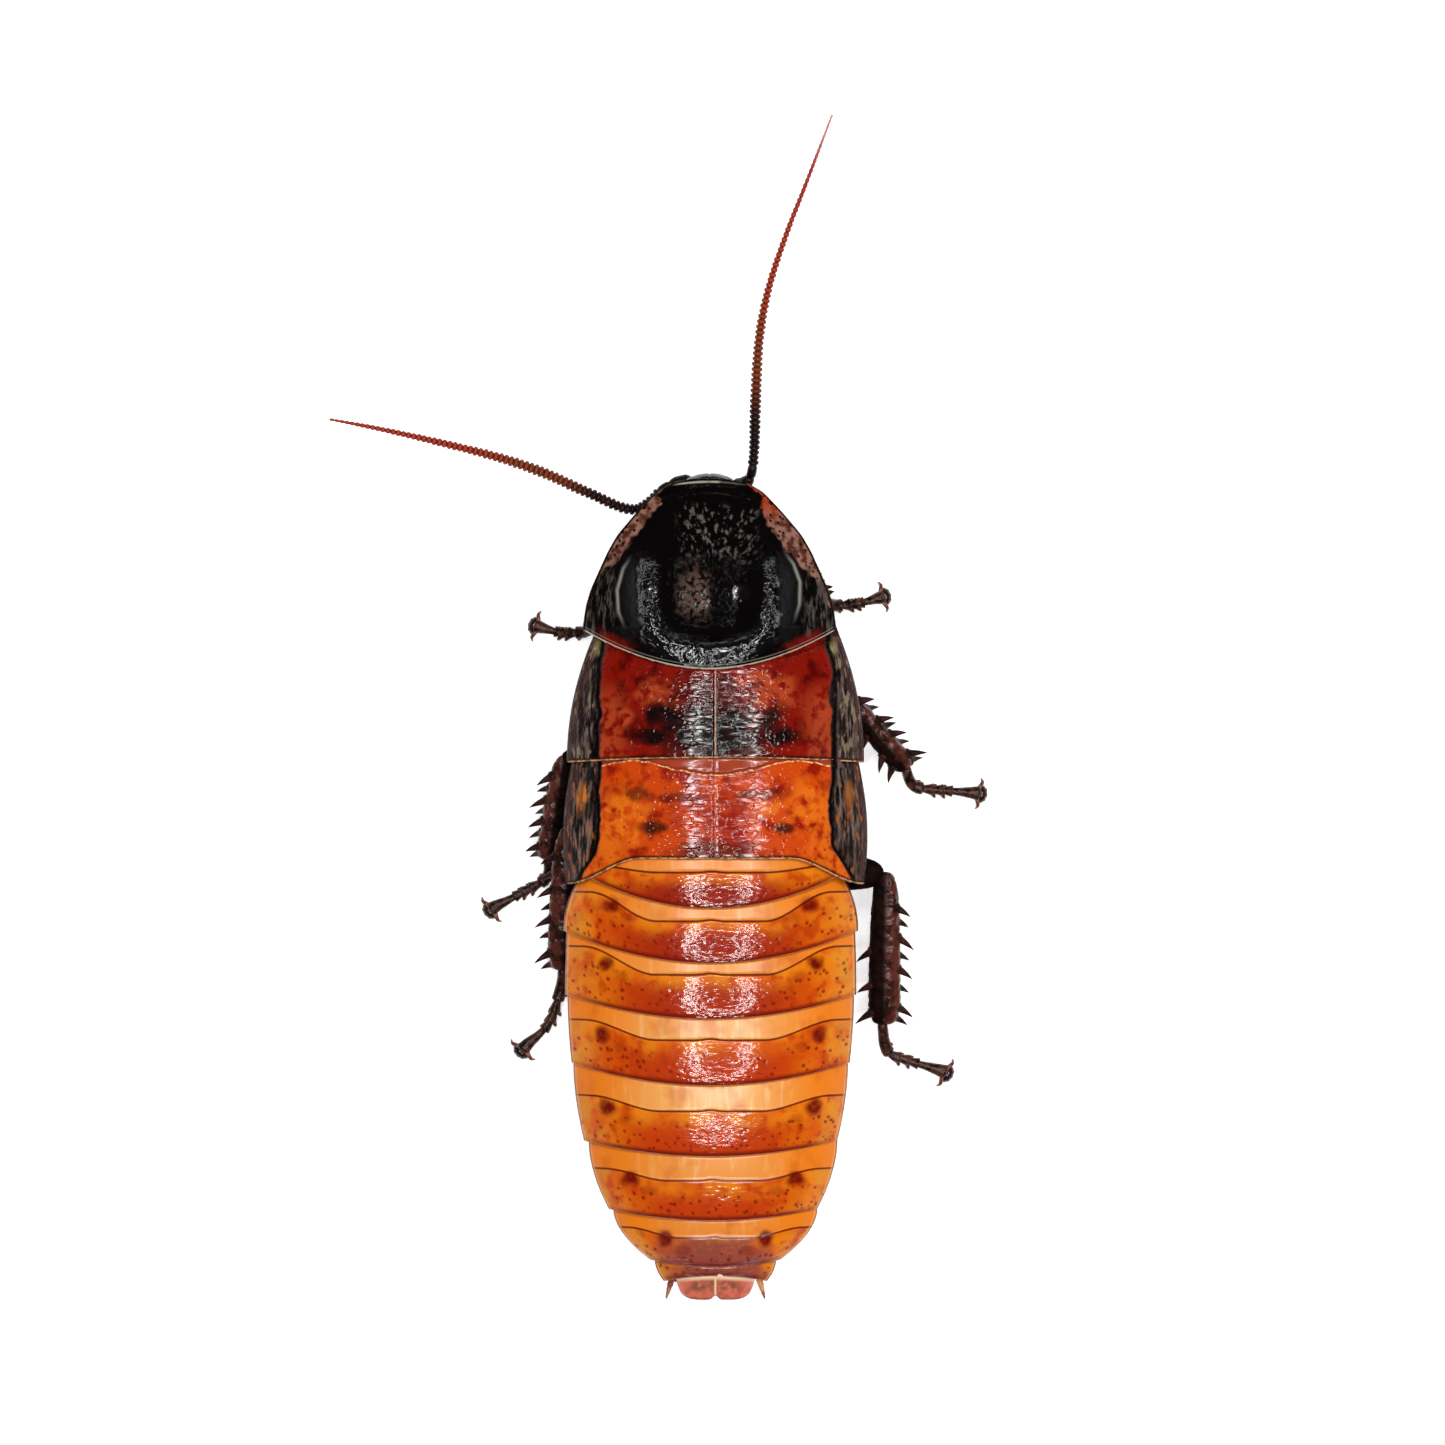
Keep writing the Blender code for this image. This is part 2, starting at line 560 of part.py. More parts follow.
COXA_PROFILE = ((0, 0.5), (0.12, 0.85), (0.4, 1.0), (0.75, 0.8), (0.93, 0.55), (1, 0.35))
FEMUR_PROFILE = ((0, 0.35), (0.1, 0.6), (0.3, 0.95), (0.55, 1.0), (0.8, 0.85), (0.95, 0.65), (1, 0.4))
TIBIA_PROFILE = ((0, 0.45), (0.07, 0.75), (0.25, 0.9), (0.6, 1.0), (0.9, 1.0), (1, 0.7))


def foot_directions(leg):
    """The middle of a foot's pad on the floor, and level directions along the foot and across it."""
    pad = Vector((*leg.pad, 0))
    along = pad - Vector(leg.tarsus[-1])
    along.z = 0
    along.normalize()
    return pad, along, UP.cross(along)


def tarsus_route(leg):
    pad, _, _ = foot_directions(leg)
    points = [Vector(leg.ankle)] + [Vector(point) for point in leg.tarsus] + [pad + UP * PAD_HEIGHT * 0.6]
    return curve_points(points, [1.0] * len(points), FINE + 1)[0]


def tarsus_skin(route):
    """Four short joints and a long last one, each widening towards its end."""
    ones = [1.0] * len(route)
    line = [along_route(route, ones, place)[0] for place, _ in TARSUS_PROFILE]
    return loft(limb_rings(line, [(size, size) for _, size in TARSUS_PROFILE], 6))


def lobe_skins(route):
    """A soft lobe under the end of each short joint of the foot, turned towards the tail."""
    ones = [1.0] * len(route)
    lobes = []
    for share in LOBE_PLACES:
        root, _ = along_route(route, ones, share)
        along = (along_route(route, ones, share + 0.05)[0] - root).normalized()
        back = UP.cross(along)
        back *= 1 if back.y > 0 else -1
        tip = root + along * LOBE_REACH[0] + back * LOBE_REACH[1] - UP * LOBE_REACH[2]
        tip.z = max(tip.z, LOBE_FLOOR)
        line = [root, root.lerp(tip, 0.6), tip]
        lobes.append(loft(limb_rings(line, [(0.24, 0.24), (0.24, 0.2), (0.13, 0.07)], 5)))
    return lobes


def pad_skin(leg):
    pad, along, over = foot_directions(leg)
    angles = [2 * math.pi * k / 8 for k in range(8)]
    return loft([[pad + UP * PAD_HEIGHT * up + along * PAD_HALF[0] * share * math.cos(a)
                  + over * PAD_HALF[1] * share * math.sin(a) for a in angles] for up, share in PAD_RINGS])


def claw_skins(leg):
    """Two claws that curve outwards and down from above the pad."""
    pad, along, over = foot_directions(leg)
    claws = []
    for side in (-1, 1):
        route = [pad + over * side * CLAW_SPREAD * out + along * ahead + UP * up
                 for out, ahead, up in ((0.1, 0.0, 0.6), (0.5, 0.15, 0.75), (0.85, 0.1, 0.5), (1.0, -0.15, 0.12))]
        claws.append(feeler(route, (0.25, 0.22, 0.16, 0.04), 5, sides=5))
    return claws


def spine_skins(start, end, profile, size, rows):
    """Tapered spines in rows round a limb, leaning towards its end, each with its root inside the limb."""
    start, end = Vector(start), Vector(end)
    draw = random.Random(f"{SPINE_SEED} {start.x:.1f} {start.y:.1f}")
    along = (end - start).normalized()
    away = along.cross(UP).normalized()
    away *= 1 if away.x * start.x > 0 else -1
    over = away.cross(along)
    over *= 1 if over.z > 0 else -1
    spines = []
    for facing, places, length in rows:
        for place in places:
            angle = math.radians(facing + draw.uniform(-9, 9))
            share = at(profile, place)
            out = away * math.cos(angle) + over * math.sin(angle)
            skin = away * size[0] * share * math.cos(angle) + over * size[1] * share * math.sin(angle)
            middle = start.lerp(end, place + draw.uniform(-0.02, 0.02))
            lean = along * SPINE_LEAN * draw.uniform(0.75, 1.15)
            root = middle + skin * 0.35 - lean * 0.2
            tip = middle + skin + (out + lean) * length * draw.uniform(0.75, 1.0) * 0.8
            bend = root.lerp(tip, 0.55) + (out - along * 0.4) * 0.06
            line = [root, bend, tip]
            rings = limb_rings(line, [(SPINE_RADIUS, SPINE_RADIUS), (SPINE_RADIUS * 0.72,) * 2, (0.01, 0.01)], 4)
            spines.append(loft([rings[0], rings[1], [tip]]))
    return spines


def make_leg(name, leg, collection, cutters):
    coxa_size, femur_size, tibia_size = LEG_SIZES[name.split("_")[0]]

    coxa = limb(leg.coxa, leg.trochanter, COXA_PROFILE, coxa_size)
    for vert in coxa.verts:
        vert.co.z = min(vert.co.z, COXA_TOP)
    add_node(coxa, f"{name}_coxa", "underside", collection)

    femur = limb(leg.trochanter, leg.knee, FEMUR_PROFILE, femur_size)
    femur = add_node(femur, f"{name}_femur", "leg", collection)
    combine(femur, [limb(leg.coxa, leg.trochanter, COXA_PROFILE, coxa_size, swell=GAP)], "DIFFERENCE", cutters)
    spines = spine_skins(leg.trochanter, leg.knee, FEMUR_PROFILE, femur_size, SPINE_ROWS["femur"])
    combine(femur, spines, "UNION", cutters)

    tibia = limb(leg.knee, leg.ankle, TIBIA_PROFILE, tibia_size)
    tibia = add_node(tibia, f"{name}_tibia", "leg", collection)
    combine(tibia, [limb(leg.trochanter, leg.knee, FEMUR_PROFILE, femur_size, swell=GAP)], "DIFFERENCE", cutters)
    rows = SPINE_ROWS["front_tibia" if name.startswith("front") else "tibia"]
    spines = spine_skins(leg.knee, leg.ankle, TIBIA_PROFILE, tibia_size, rows)
    combine(tibia, spines, "UNION", cutters)

    route = tarsus_route(leg)
    tarsus = add_node(tarsus_skin(route), f"{name}_tarsus", "leg", collection)
    combine(tarsus, [pad_skin(leg)] + lobe_skins(route) + claw_skins(leg), "UNION", cutters)
    combine(tarsus, [limb(leg.knee, leg.ankle, TIBIA_PROFILE, tibia_size, swell=GAP)], "DIFFERENCE", cutters)


def make_materials():
    for name, (colour, rough) in COLOURS.items():
        material = bpy.data.materials.new(name)
        material.use_nodes = True
        shader = material.node_tree.nodes["Principled BSDF"]
        shader.inputs["Base Color"].default_value = colour
        shader.inputs["Roughness"].default_value = rough
        shader.inputs["Metallic"].default_value = 0.0


def stand_on_origin(nodes, collection):
    """Parents every node to one empty, moved so that the origin is the middle of the box's underside."""
    whole = bpy.data.objects.new("hissing_cockroach", None)
    collection.objects.link(whole)
    bpy.context.view_layer.update()
    corners = [node.matrix_world @ vert.co for node in nodes for vert in node.data.vertices]
    low = [min(corner[i] for corner in corners) for i in range(3)]
    high = [max(corner[i] for corner in corners) for i in range(3)]
    for node in nodes:
        node.parent = whole
    whole.location = (-(low[0] + high[0]) / 2, -(low[1] + high[1]) / 2, -low[2])


def main():
    for old in list(bpy.data.objects):
        bpy.data.objects.remove(old)
    make_materials()
    collection = bpy.data.collections.new("hissing_cockroach")
    cutters = bpy.data.collections.new("cutters")
    bpy.context.scene.collection.children.link(collection)
    bpy.context.scene.collection.children.link(cutters)
    cutters.hide_render = True
    make_pronotum(collection)
    make_back_plates(collection)
    make_tail_plate(collection)
    make_underside(collection)
    make_head(collection, cutters)
    make_antennae(collection, cutters)
    make_cerci(collection)
    for name, leg in LEGS.items():
        make_leg(name, leg, collection, cutters)
    stand_on_origin(list(collection.objects), collection)


main()
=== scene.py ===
"""The looks of the hissing cockroach: detailed plates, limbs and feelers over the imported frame.

Shapes are worked out in millimetres, in the plan that the part's source uses: x from the body's midline to
the animal's left, y from the front edge of the pronotum towards the tail, z up from the floor. OFFSET then
moves them to the row frame.
"""

import math
from collections import namedtuple

import bpy
import numpy as np
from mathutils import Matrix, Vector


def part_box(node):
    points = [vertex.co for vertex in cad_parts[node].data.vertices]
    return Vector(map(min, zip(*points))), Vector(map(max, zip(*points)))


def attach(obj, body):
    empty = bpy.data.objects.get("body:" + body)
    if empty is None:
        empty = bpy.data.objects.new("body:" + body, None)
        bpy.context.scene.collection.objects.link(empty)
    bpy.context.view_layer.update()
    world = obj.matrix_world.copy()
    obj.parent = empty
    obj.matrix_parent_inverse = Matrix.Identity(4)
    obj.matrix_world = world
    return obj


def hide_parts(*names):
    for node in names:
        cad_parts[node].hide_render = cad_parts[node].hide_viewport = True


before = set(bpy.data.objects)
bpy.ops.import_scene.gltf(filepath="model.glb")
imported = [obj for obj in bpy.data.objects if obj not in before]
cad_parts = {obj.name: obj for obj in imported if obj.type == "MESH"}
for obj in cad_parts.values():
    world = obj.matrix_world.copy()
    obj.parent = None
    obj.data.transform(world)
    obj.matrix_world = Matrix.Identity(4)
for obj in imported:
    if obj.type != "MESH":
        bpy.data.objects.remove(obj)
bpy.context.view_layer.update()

MM = 0.001
UP = np.array([0.0, 0.0, 1.0])
PRONOTUM_SHIFT = 0.3
low_corner, high_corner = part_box("pronotum")
OFFSET = np.array([(low_corner.x + high_corner.x) / 2 / MM - PRONOTUM_SHIFT, low_corner.y / MM, 0.0])

# Heights along the body, as (y, z): the crest of the back, the edges of the back plates and the belly
CREST = ((0, 8.5), (3, 10.3), (7, 11.8), (12, 12.6), (16, 12.8), (24, 13.3), (34, 13.6), (45, 13.8),
         (52, 13.5), (58, 12.5), (63, 10.9), (66.6, 9.2), (68, 8.3), (69.5, 7.3))
PLATE_EDGE = ((0, 7.8), (12.5, 6.6), (24, 6.35), (60, 6.2), (69.5, 6.0))
BELLY = ((0, 4.6), (35.5, 4.6), (36, 4.1), (41, 3.0), (46, 2.5), (57, 2.5), (62, 2.9), (67.5, 4.6))
PLATE_EDGE_THICK = 0.6
ARCH_POWER = 0.8
BAND_DROP = 0.45
LINE_DROP = 0.2
NARROWING = 1.8
EASE_OVER = 1.2

# Plates are thin shells. Each slides under the one before it, and its sides curl down towards the belly.
SHELL = 0.2
PRONOTUM_SHELL = 0.28
OVERLAP = 1.1
LAYER_SHORTER = 0.25
LAYER_WIDE = 0.28
LAYER_THICK = 0.1
PRONOTUM_LAYER_FROM = 0.55
SIDE_CURL = ((0.03, 0.1), (0.04, 0.22), (0.0, 0.36), (-0.08, 0.5))
MESH_STEP = 0.105

PRONOTUM_WIDE = ((0, 3.2), (0.6, 4.3), (2.4, 5.9), (4.7, 7.8), (6.2, 8.65), (7.9, 9.4), (9.4, 10.05),
                 (10.8, 10.45), (12.6, 10.7))
PRONOTUM_HALF = PRONOTUM_WIDE[-1][1]
PRONOTUM_REAR = (16.05, 12.7)
HORN_HEIGHT = 1.65
HORN_RIDGE = ((5.2, 5.6), (5.5, 7.2), (5.55, 9.0), (5.5, 10.8), (5.0, 12.6), (3.7, 13.9), (1.9, 14.6),
              (0, 14.85))
# Crescent ridges beside the horns, as points; a painted highlight, a pale line, runs along each
CRESCENTS = (((6.5, 6.4), (7.3, 7.6), (7.8, 9.4), (7.7, 11.2), (7.0, 12.9)),
             ((-6.1, 5.9), (-7.1, 7.2), (-7.65, 8.7), (-7.6, 10.6), (-7.0, 12.5)))
BASIN_FLOOR = 11.5
FRONT_RIM = 0.35
FRONT_BOW = 0.4

# The back plates behind it: y of the rear margin in the middle and at the sides, the same of the line where
# the pale band ends, half widths, how pale the band is in its middle (partly its own colour and partly a
# painted highlight), how deep a red the middle is, and (x, y) of the two dark spots
Plate = namedtuple("Plate", "name shift rear line wide pale red spot")
PLATES = (
    Plate("mesonotum", -0.2, (23.5, 23.9), None, (10.3, 12.55), 0, 0, None),
    Plate("metanotum", -0.2, (32.0, 34.2), (25.1, 24.4), (12.1, 12.6), 0, 0, None),
    Plate("tergite_1", 0.1, (36.2, 32.7), (33.2, 32.6), (11.6, 12.2), 0.35, 1.0, None),
    Plate("tergite_2", 0.2, (40.8, 38.2), (37.3, 34.9), (11.3, 12.45), 0.45, 0.85, (8.3, 36.0)),
    Plate("tergite_3", 0.2, (45.5, 43.6), (41.8, 39.5), (12.2, 12.3), 0.5, 0.65, (8.9, 41.0)),
    Plate("tergite_4", 0.2, (51.1, 49.4), (47.3, 45.7), (12.1, 11.75), 0.9, 0.32, (9.2, 46.9)),
    Plate("tergite_5", 0.2, (57.1, 56.0), (53.3, 52.1), (11.6, 10.7), 1.0, 0.18, (8.7, 53.0)),
    Plate("tergite_6", 0.0, (62.6, 61.8), (59.2, 58.3), (10.5, 8.8), 0.5, 0.12, (7.0, 59.1)),
    Plate("tergite_7", -0.2, (66.6, 66.1), (64.1, 63.3), (8.6, 5.5), 0.3, 0.1, (4.2, 64.2)),
    Plate("tergite_8", -0.2, (67.4, 67.9), None, (5.1, 4.35), 0, 0.3, None),
)
# Patches on the two wing plates: dark ones as (strength, middle, half size), warm ones and the painted
# sheen, a pale painted highlight, as (middle, half size), and the middles of their ribbed dents
DARK = {
    "mesonotum": (
        (1.0, (0.2, 21.3), (4.3, 2.2)), (1.0, (4.3, 20.0), (1.6, 1.0)), (0.95, (-4.6, 20.4), (0.9, 0.9)),
        (1.0, (5.3, 21.8), (1.6, 0.65)), (1.0, (-5.5, 21.8), (1.4, 0.7)), (0.6, (0.5, 17.6), (2.2, 1.2)),
    ),
    "metanotum": (
        (0.6, (6.6, 26.6), (0.9, 0.6)), (0.55, (3.4, 26.9), (2.4, 0.4)), (0.5, (-4.2, 26.6), (2.2, 0.4)),
        (0.85, (5.3, 29.4), (1.2, 0.5)), (0.85, (-5.8, 29.5), (0.9, 0.45)), (0.6, (0.3, 31.4), (3.4, 0.8)),
    ),
}
WARM = {
    "mesonotum": (((-4.2, 17.9), (2.7, 1.6)), ((4.9, 18.3), (1.5, 1.2)), ((7.8, 20.2), (0.9, 0.7))),
    "metanotum": (((7.6, 28.6), (1.7, 2.4)), ((-7.8, 27.4), (1.5, 2.2)), ((-4.6, 27.7), (1.7, 0.6))),
}
# Painted sheen: pale patches, a painted highlight, at the outer edge of each wing plate's side band
PAINTED_SHEEN = {"mesonotum": ((9.6, 14.2), (0.7, 0.8)), "metanotum": ((11.3, 26.8), (0.4, 1.5))}
DISC_HALF = 9.75
RED_HALF = {"mesonotum": 5.0, "metanotum": 3.9}
RIBBED = {"mesonotum": ((5.3, 21.7), (-5.5, 21.8)), "metanotum": ((5.3, 29.4), (-5.8, 29.5))}
METANOTUM_LINE = ((0, 25.1), (3.3, 24.6), (5.6, 23.85), (7.9, 23.75), (9.2, 24.2), (11.2, 24.7), (13, 24.9))
TAIL_PLATE_REAR = 69.45
TAIL_PLATE_WIDE = (3.35, 2.9)
TAIL_OVERLAP = 0.6
TAIL_NOTCH = 0.35
TAIL_CORNER = 0.5

PROSTERNUM_FRONT = 4.1
PROSTERNUM_WIDE = 3.4
STERNA = (
    ("prosternum", 15.7, 6.6),
    ("mesosternum", 24.0, 10.4),
    ("metasternum", 35.5, 10.9),
    ("sternite_2", 40.6, 11.2),
    ("sternite_3", 45.4, 11.1),
    ("sternite_4", 51.0, 10.6),
    ("sternite_5", 56.9, 9.6),
    ("sternite_6", 62.3, 7.7),
    ("sternite_7", 67.2, 2.4),
)
STERNUM_EDGE_THICK = 0.35
STERNUM_STEP = 0.25

# The soft skin between the plates: y of its two ends, and its outline as (y, half width)
MEMBRANE_ENDS = (2.2, 68.4)
MEMBRANE_WIDE = ((0, 2.6), (2.4, 5.0), (4.7, 6.6), (7.9, 8.4), (12.6, 9.6), (16, 10.3), (24, 11.2),
                 (28, 11.2), (32, 10.6), (36, 10.6), (38.5, 11.3), (41, 11.6), (45, 11.5), (51, 11.0),
                 (57, 10.0), (62, 8.2), (66, 5.0), (69, 3.0))
MEMBRANE_INSET = 0.25

SIDES = (("left", 1), ("right", -1))
HEAD_X = 0.3
# The head as rings from below upwards: height, half width, half depth and y of the middle
HEAD_RINGS = ((1.5, 0.8, 0.5, 2.9), (2.1, 1.4, 0.9, 2.7), (3.0, 2.0, 1.3, 2.4), (4.0, 2.6, 1.7, 2.1),
              (5.0, 3.05, 2.0, 1.75), (5.9, 3.0, 2.05, 1.55), (6.6, 2.4, 1.7, 1.5), (7.0, 1.5, 1.1, 1.5))
EYE_AT = (2.85, 1.75, 5.2)
EYE_HALF = (0.95, 1.15, 1.5)
LABRUM_AT = (1.75, 2.1)
LABRUM_HALF = (0.85, 0.45, 0.8)
MANDIBLE_AT = (1.05, 2.2, 2.1)
MANDIBLE_HALF = (0.5, 0.7, 0.75)
SOCKET_AT = (1.7, 0.35, 4.7)
SOCKET_HALF = (0.5, 0.28, 0.5)
# The pale spot beside each feeler, as its middle and half sizes across the face and up it
OCELLUS = ((1.55, 5.35), (0.26, 0.3))

ANTENNAE = {
    "left": (((1.9, -0.1, 4.8), (4.0, 0.6, 5.3), (6.7, 2.5, 6.0), (10.6, 1.1, 6.9), (14.2, -0.5, 7.6),
              (18.0, -1.8, 8.0), (23.1, -3.1, 8.1), (28.4, -4.3, 7.7), (32.5, -5.1, 7.1)),
             (0.45, 0.42, 0.42, 0.45, 0.47, 0.41, 0.32, 0.21, 0.1)),
    "right": (((-1.7, 0.4, 4.8), (-3.0, 0.0, 5.5), (-3.45, -2.0, 6.5), (-3.6, -6.7, 8.0), (-3.9, -11.8, 8.6),
               (-4.7, -16.1, 8.8), (-6.2, -20.7, 8.6), (-7.9, -25.1, 8.1), (-10.1, -30.9, 7.3)),
              (0.45, 0.45, 0.42, 0.46, 0.41, 0.32, 0.24, 0.18, 0.09)),
}
SCAPE_END = 0.09
BEAD_PITCH = 0.45
DARK_LONGER = 0.07
# One bead, as (place along it, share of the antenna's radius)
BEAD = ((0.0, 0.62), (0.1, 0.8), (0.3, 1.03), (0.55, 1.12), (0.78, 1.03), (0.93, 0.76))
SCAPE = ((0, 0.7), (0.12, 1.15), (0.45, 1.25), (0.58, 1.0), (0.62, 0.75), (0.7, 0.95), (0.92, 0.95),
         (1, 0.75))

PALP = (((1.9, 2.5, 2.6), (2.7, 1.7, 2.3), (3.1, 0.9, 1.5), (3.0, 0.5, 0.7)), (0.28, 0.3, 0.3, 0.26))
LIP_PALP = (((0.6, 3.0, 2.0), (1.0, 3.5, 1.4), (1.1, 3.3, 0.8)), (0.28, 0.27, 0.25))
CERCUS = (((3.5, 66.9, 5.35), (3.8, 68.1, 5.45), (4.2, 69.5, 5.6)), (0.36, 0.3, 0.06))

Leg = namedtuple("Leg", "coxa trochanter knee ankle tarsus pad")
LEGS = {
    "front_left": Leg((1.9, 10.6, 3.9), (4.6, 14.6, 3.2), (6.6, 8.6, 4.2), (10.2, 12.6, 2.3),
                      ((11.2, 12.9, 1.2), (13.0, 12.9, 0.75), (14.6, 12.5, 0.7)), (15.3, 12.3)),
    "front_right": Leg((-1.9, 8.4, 3.9), (-4.6, 12.2, 3.2), (-6.0, 6.0, 4.2), (-9.5, 10.2, 2.3),
                       ((-10.5, 10.6, 1.2), (-12.5, 10.4, 0.75), (-14.0, 10.0, 0.7)), (-14.7, 9.8)),
    "middle_left": Leg((2.4, 19.8, 3.8), (4.8, 25.2, 3.3), (12.7, 23.6, 4.4), (14.1, 32.1, 2.0),
                       ((14.2, 33.8, 1.1), (16.7, 35.3, 0.75), (18.6, 36.3, 0.7)), (19.1, 36.7)),
    "middle_right": Leg((-2.4, 18.8, 3.8), (-4.8, 24.0, 3.3), (-10.9, 18.0, 4.4), (-16.4, 24.4, 2.0),
                        ((-17.2, 26.0, 1.1), (-20.0, 26.4, 0.75), (-22.4, 26.6, 0.7)), (-22.9, 26.7)),
    "hind_left": Leg((2.4, 27.4, 3.8), (4.7, 33.5, 3.3), (12.3, 29.6, 4.5), (12.8, 41.5, 1.9),
                     ((13.0, 43.3, 1.1), (14.0, 46.2, 0.75), (15.9, 48.1, 0.7)), (16.4, 48.7)),
    "hind_right": Leg((-2.4, 27.0, 3.8), (-5.0, 32.8, 3.3), (-14.3, 33.5, 4.5), (-14.4, 46.1, 1.9),
                      ((-14.9, 48.6, 1.1), (-16.9, 49.5, 0.75), (-19.5, 50.3, 0.7)), (-20.0, 50.6)),
}
COXA_TOP = 4.3
LIMB_END = 0.25
FEMUR_DARKER = 0.8
LEG_SIZES = {
    "front": ((1.35, 0.75), (1.2, 0.75), (0.8, 0.7)),
    "middle": ((1.6, 0.9), (1.45, 0.85), (1.0, 0.75)),
    "hind": ((1.75, 0.9), (1.7, 0.9), (1.34, 0.8)),
}
TIBIA_SHIFT = {"hind_right": 0.35}
COXA_PROFILE = ((0, 0.5), (0.12, 0.85), (0.4, 1.0), (0.75, 0.8), (0.93, 0.55), (1, 0.35))
FEMUR_PROFILE = ((0, 0.35), (0.1, 0.6), (0.3, 0.95), (0.55, 1.0), (0.8, 0.85), (0.95, 0.65), (1, 0.4))
TIBIA_PROFILE = ((0, 0.45), (0.07, 0.75), (0.25, 0.9), (0.6, 1.0), (0.9, 1.0), (1, 0.7))

# Joints of a foot, as (start, end) along it, and the half widths at which each starts and ends
TARSUS_JOINTS = ((0.0, 0.37, 0.42, 0.58), (0.345, 0.475, 0.3, 0.58), (0.45, 0.58, 0.3, 0.57),
                 (0.555, 0.685, 0.29, 0.55), (0.655, 0.98, 0.28, 0.66))
LOBED_JOINTS = 3
# The pair of lobes under a joint: the side of each, and how far it reaches ahead, to that side and down
LOBE_REACH = ((1, 0.5, 0.62, 0.3), (-1, 0.55, 0.42, 0.3))
LOBE_FLOOR = 0.08
PAD_HALF = (0.52, 0.75)
PAD_HEIGHT = 0.85
# The pad's outline, as (share of its height, share of its half size)
PAD_PROFILE = ((0, 0.72), (0.02, 0.8), (0.12, 0.93), (0.3, 1.0), (0.5, 0.97), (0.68, 0.85), (0.82, 0.66),
               (0.92, 0.45), (0.98, 0.22), (1.0, 0.01))
CLAW_SPREAD = 1.35
# Points of a claw, as (share of the spread, how far ahead of the pad's middle, height)
CLAW_ROUTE = ((0.0, -0.42, 0.6), (0.35, -0.3, 0.72), (0.75, -0.12, 0.6), (1.0, -0.3, 0.14))
CLAW_RADII = (0.22, 0.2, 0.16, 0.035)

# Rows of spines: the way each faces round the limb (0 is away from the body, 90 up, 180 towards the body),
# its places along the limb, and the length that shows in millimetres
SPINE_ROWS = {
    "front_tibia": ((12, (0.3, 0.55, 0.82), 0.8), (-25, (0.42, 0.7, 0.95), 0.7),
                    (172, (0.78, 0.94), 0.6), (80, (0.5, 0.8), 0.5), (-95, (0.45, 0.65, 0.9), 0.5)),
    "tibia": ((12, (0.2, 0.43, 0.65, 0.88), 1.6), (-25, (0.3, 0.54, 0.77, 0.97), 1.4),
              (172, (0.5, 0.74, 0.92), 1.6), (80, (0.34, 0.6, 0.84), 0.7), (-110, (0.4, 0.66, 0.93), 0.9)),
    "femur": ((-62, (0.45, 0.58, 0.7), 0.6), (-118, (0.5, 0.62), 0.5)),
}
SPINE_RADIUS = 0.33
SPINE_LEAN = 0.8
SPINE_PROFILE = ((0, 1.35), (0.1, 1.4), (0.17, 1.3), (0.2, 1.0), (0.3, 0.86), (0.45, 0.7), (0.6, 0.54),
                 (0.75, 0.36), (0.88, 0.2), (0.97, 0.08), (1.0, 0.02))

# How bright white paper is under the lights, by which colours read off the photograph are divided
LIGHT_LEVEL = 1.1
# The middle of the photograph, in plan millimetres, and the width that it shows
VIEW_CENTRE = (-0.8, 20.58)
VIEW_WIDE = 122.1
VIEW_HEIGHT = 9.0
LENS = 250.0
SENSOR = 36.0

# The floor and the lamps, in metres and watts
FLOOR_HALF = 2.0
FLOOR_LEVEL = -0.00002
FLOOR_GLOW = 0.62
LAMPS = 14
LAMP_RING = 0.112
LAMP_HEIGHT = 0.30
LAMP_SHIFT = -0.035
LAMP_SIZE = 0.028
LAMP_POWER = 0.085

materials = {}


def ease(t):
    """0 below 0, 1 above 1, and a smooth step between."""
    t = np.clip(t, 0.0, 1.0)
    return t * t * (3 - 2 * t)


def peak(away, width):
    """1 where away is 0, falling to nothing beyond about twice the width."""
    return np.exp(-(away / width) ** 2)


def circle(count):
    """count angles round a circle."""
    return np.linspace(0, 2 * math.pi, count, endpoint=False)


def smoothed(values, reach):
    """Each value as the mean of those up to reach places from it."""
    count = 2 * reach + 1
    return np.convolve(np.pad(values, reach, "edge"), np.ones(count) / count, "valid")


def joined(x, y, z):
    """Points from coordinates, each of which may be a row, a column or a whole grid."""
    return np.stack(np.broadcast_arrays(x, y, z), -1)


def mirrored(points, side, middle=0.0):
    """The points of the left side, given from the middle, or their mirror image where side is -1."""
    return [(point[0] * side + middle, *point[1:]) for point in points]


def profile_at(table, share, over=0.03, count=5):
    """The table's value at a place along a limb, with its corners eased."""
    places, values = zip(*table)
    return sum(np.interp(share + shift, places, values) for shift in np.linspace(-over, over, count)) / count


def at(table, y):
    """The table's value at y in mm, with its corners eased."""
    return profile_at(table, y, EASE_OVER, 7)


def hills(x, y, size, seed):
    """Smooth random hills and dips from -1 to 1, about size apart."""
    heights = np.random.default_rng(seed).uniform(-1, 1, (64, 64))
    i, j = np.floor(x / size).astype(int), np.floor(y / size).astype(int)
    s, t = ease(x / size - i), ease(y / size - j)
    first = heights[i % 64, j % 64] * (1 - s) + heights[(i + 1) % 64, j % 64] * s
    second = heights[i % 64, (j + 1) % 64] * (1 - s) + heights[(i + 1) % 64, (j + 1) % 64] * s
    return first * (1 - t) + second * t


def pores(x, y, pitch, seed):
    """Distance to the nearest of points scattered about a pitch apart, and a random share for that point."""
    draw = np.random.default_rng(seed).random((3, 64, 64))
    i, j = np.floor(x / pitch).astype(int), np.floor(y / pitch).astype(int)
    nearest, chance = np.full(np.shape(x), 9.0), np.zeros(np.shape(x))
    for a in (-1, 0, 1):
        for b in (-1, 0, 1):
            cell = (i + a) % 64, (j + b) % 64
            away = np.hypot(x - (i + a + draw[0][cell]) * pitch, y - (j + b + draw[1][cell]) * pitch)
            chance = np.where(away < nearest, draw[2][cell], chance)
            nearest = np.minimum(away, nearest)
    return nearest, chance


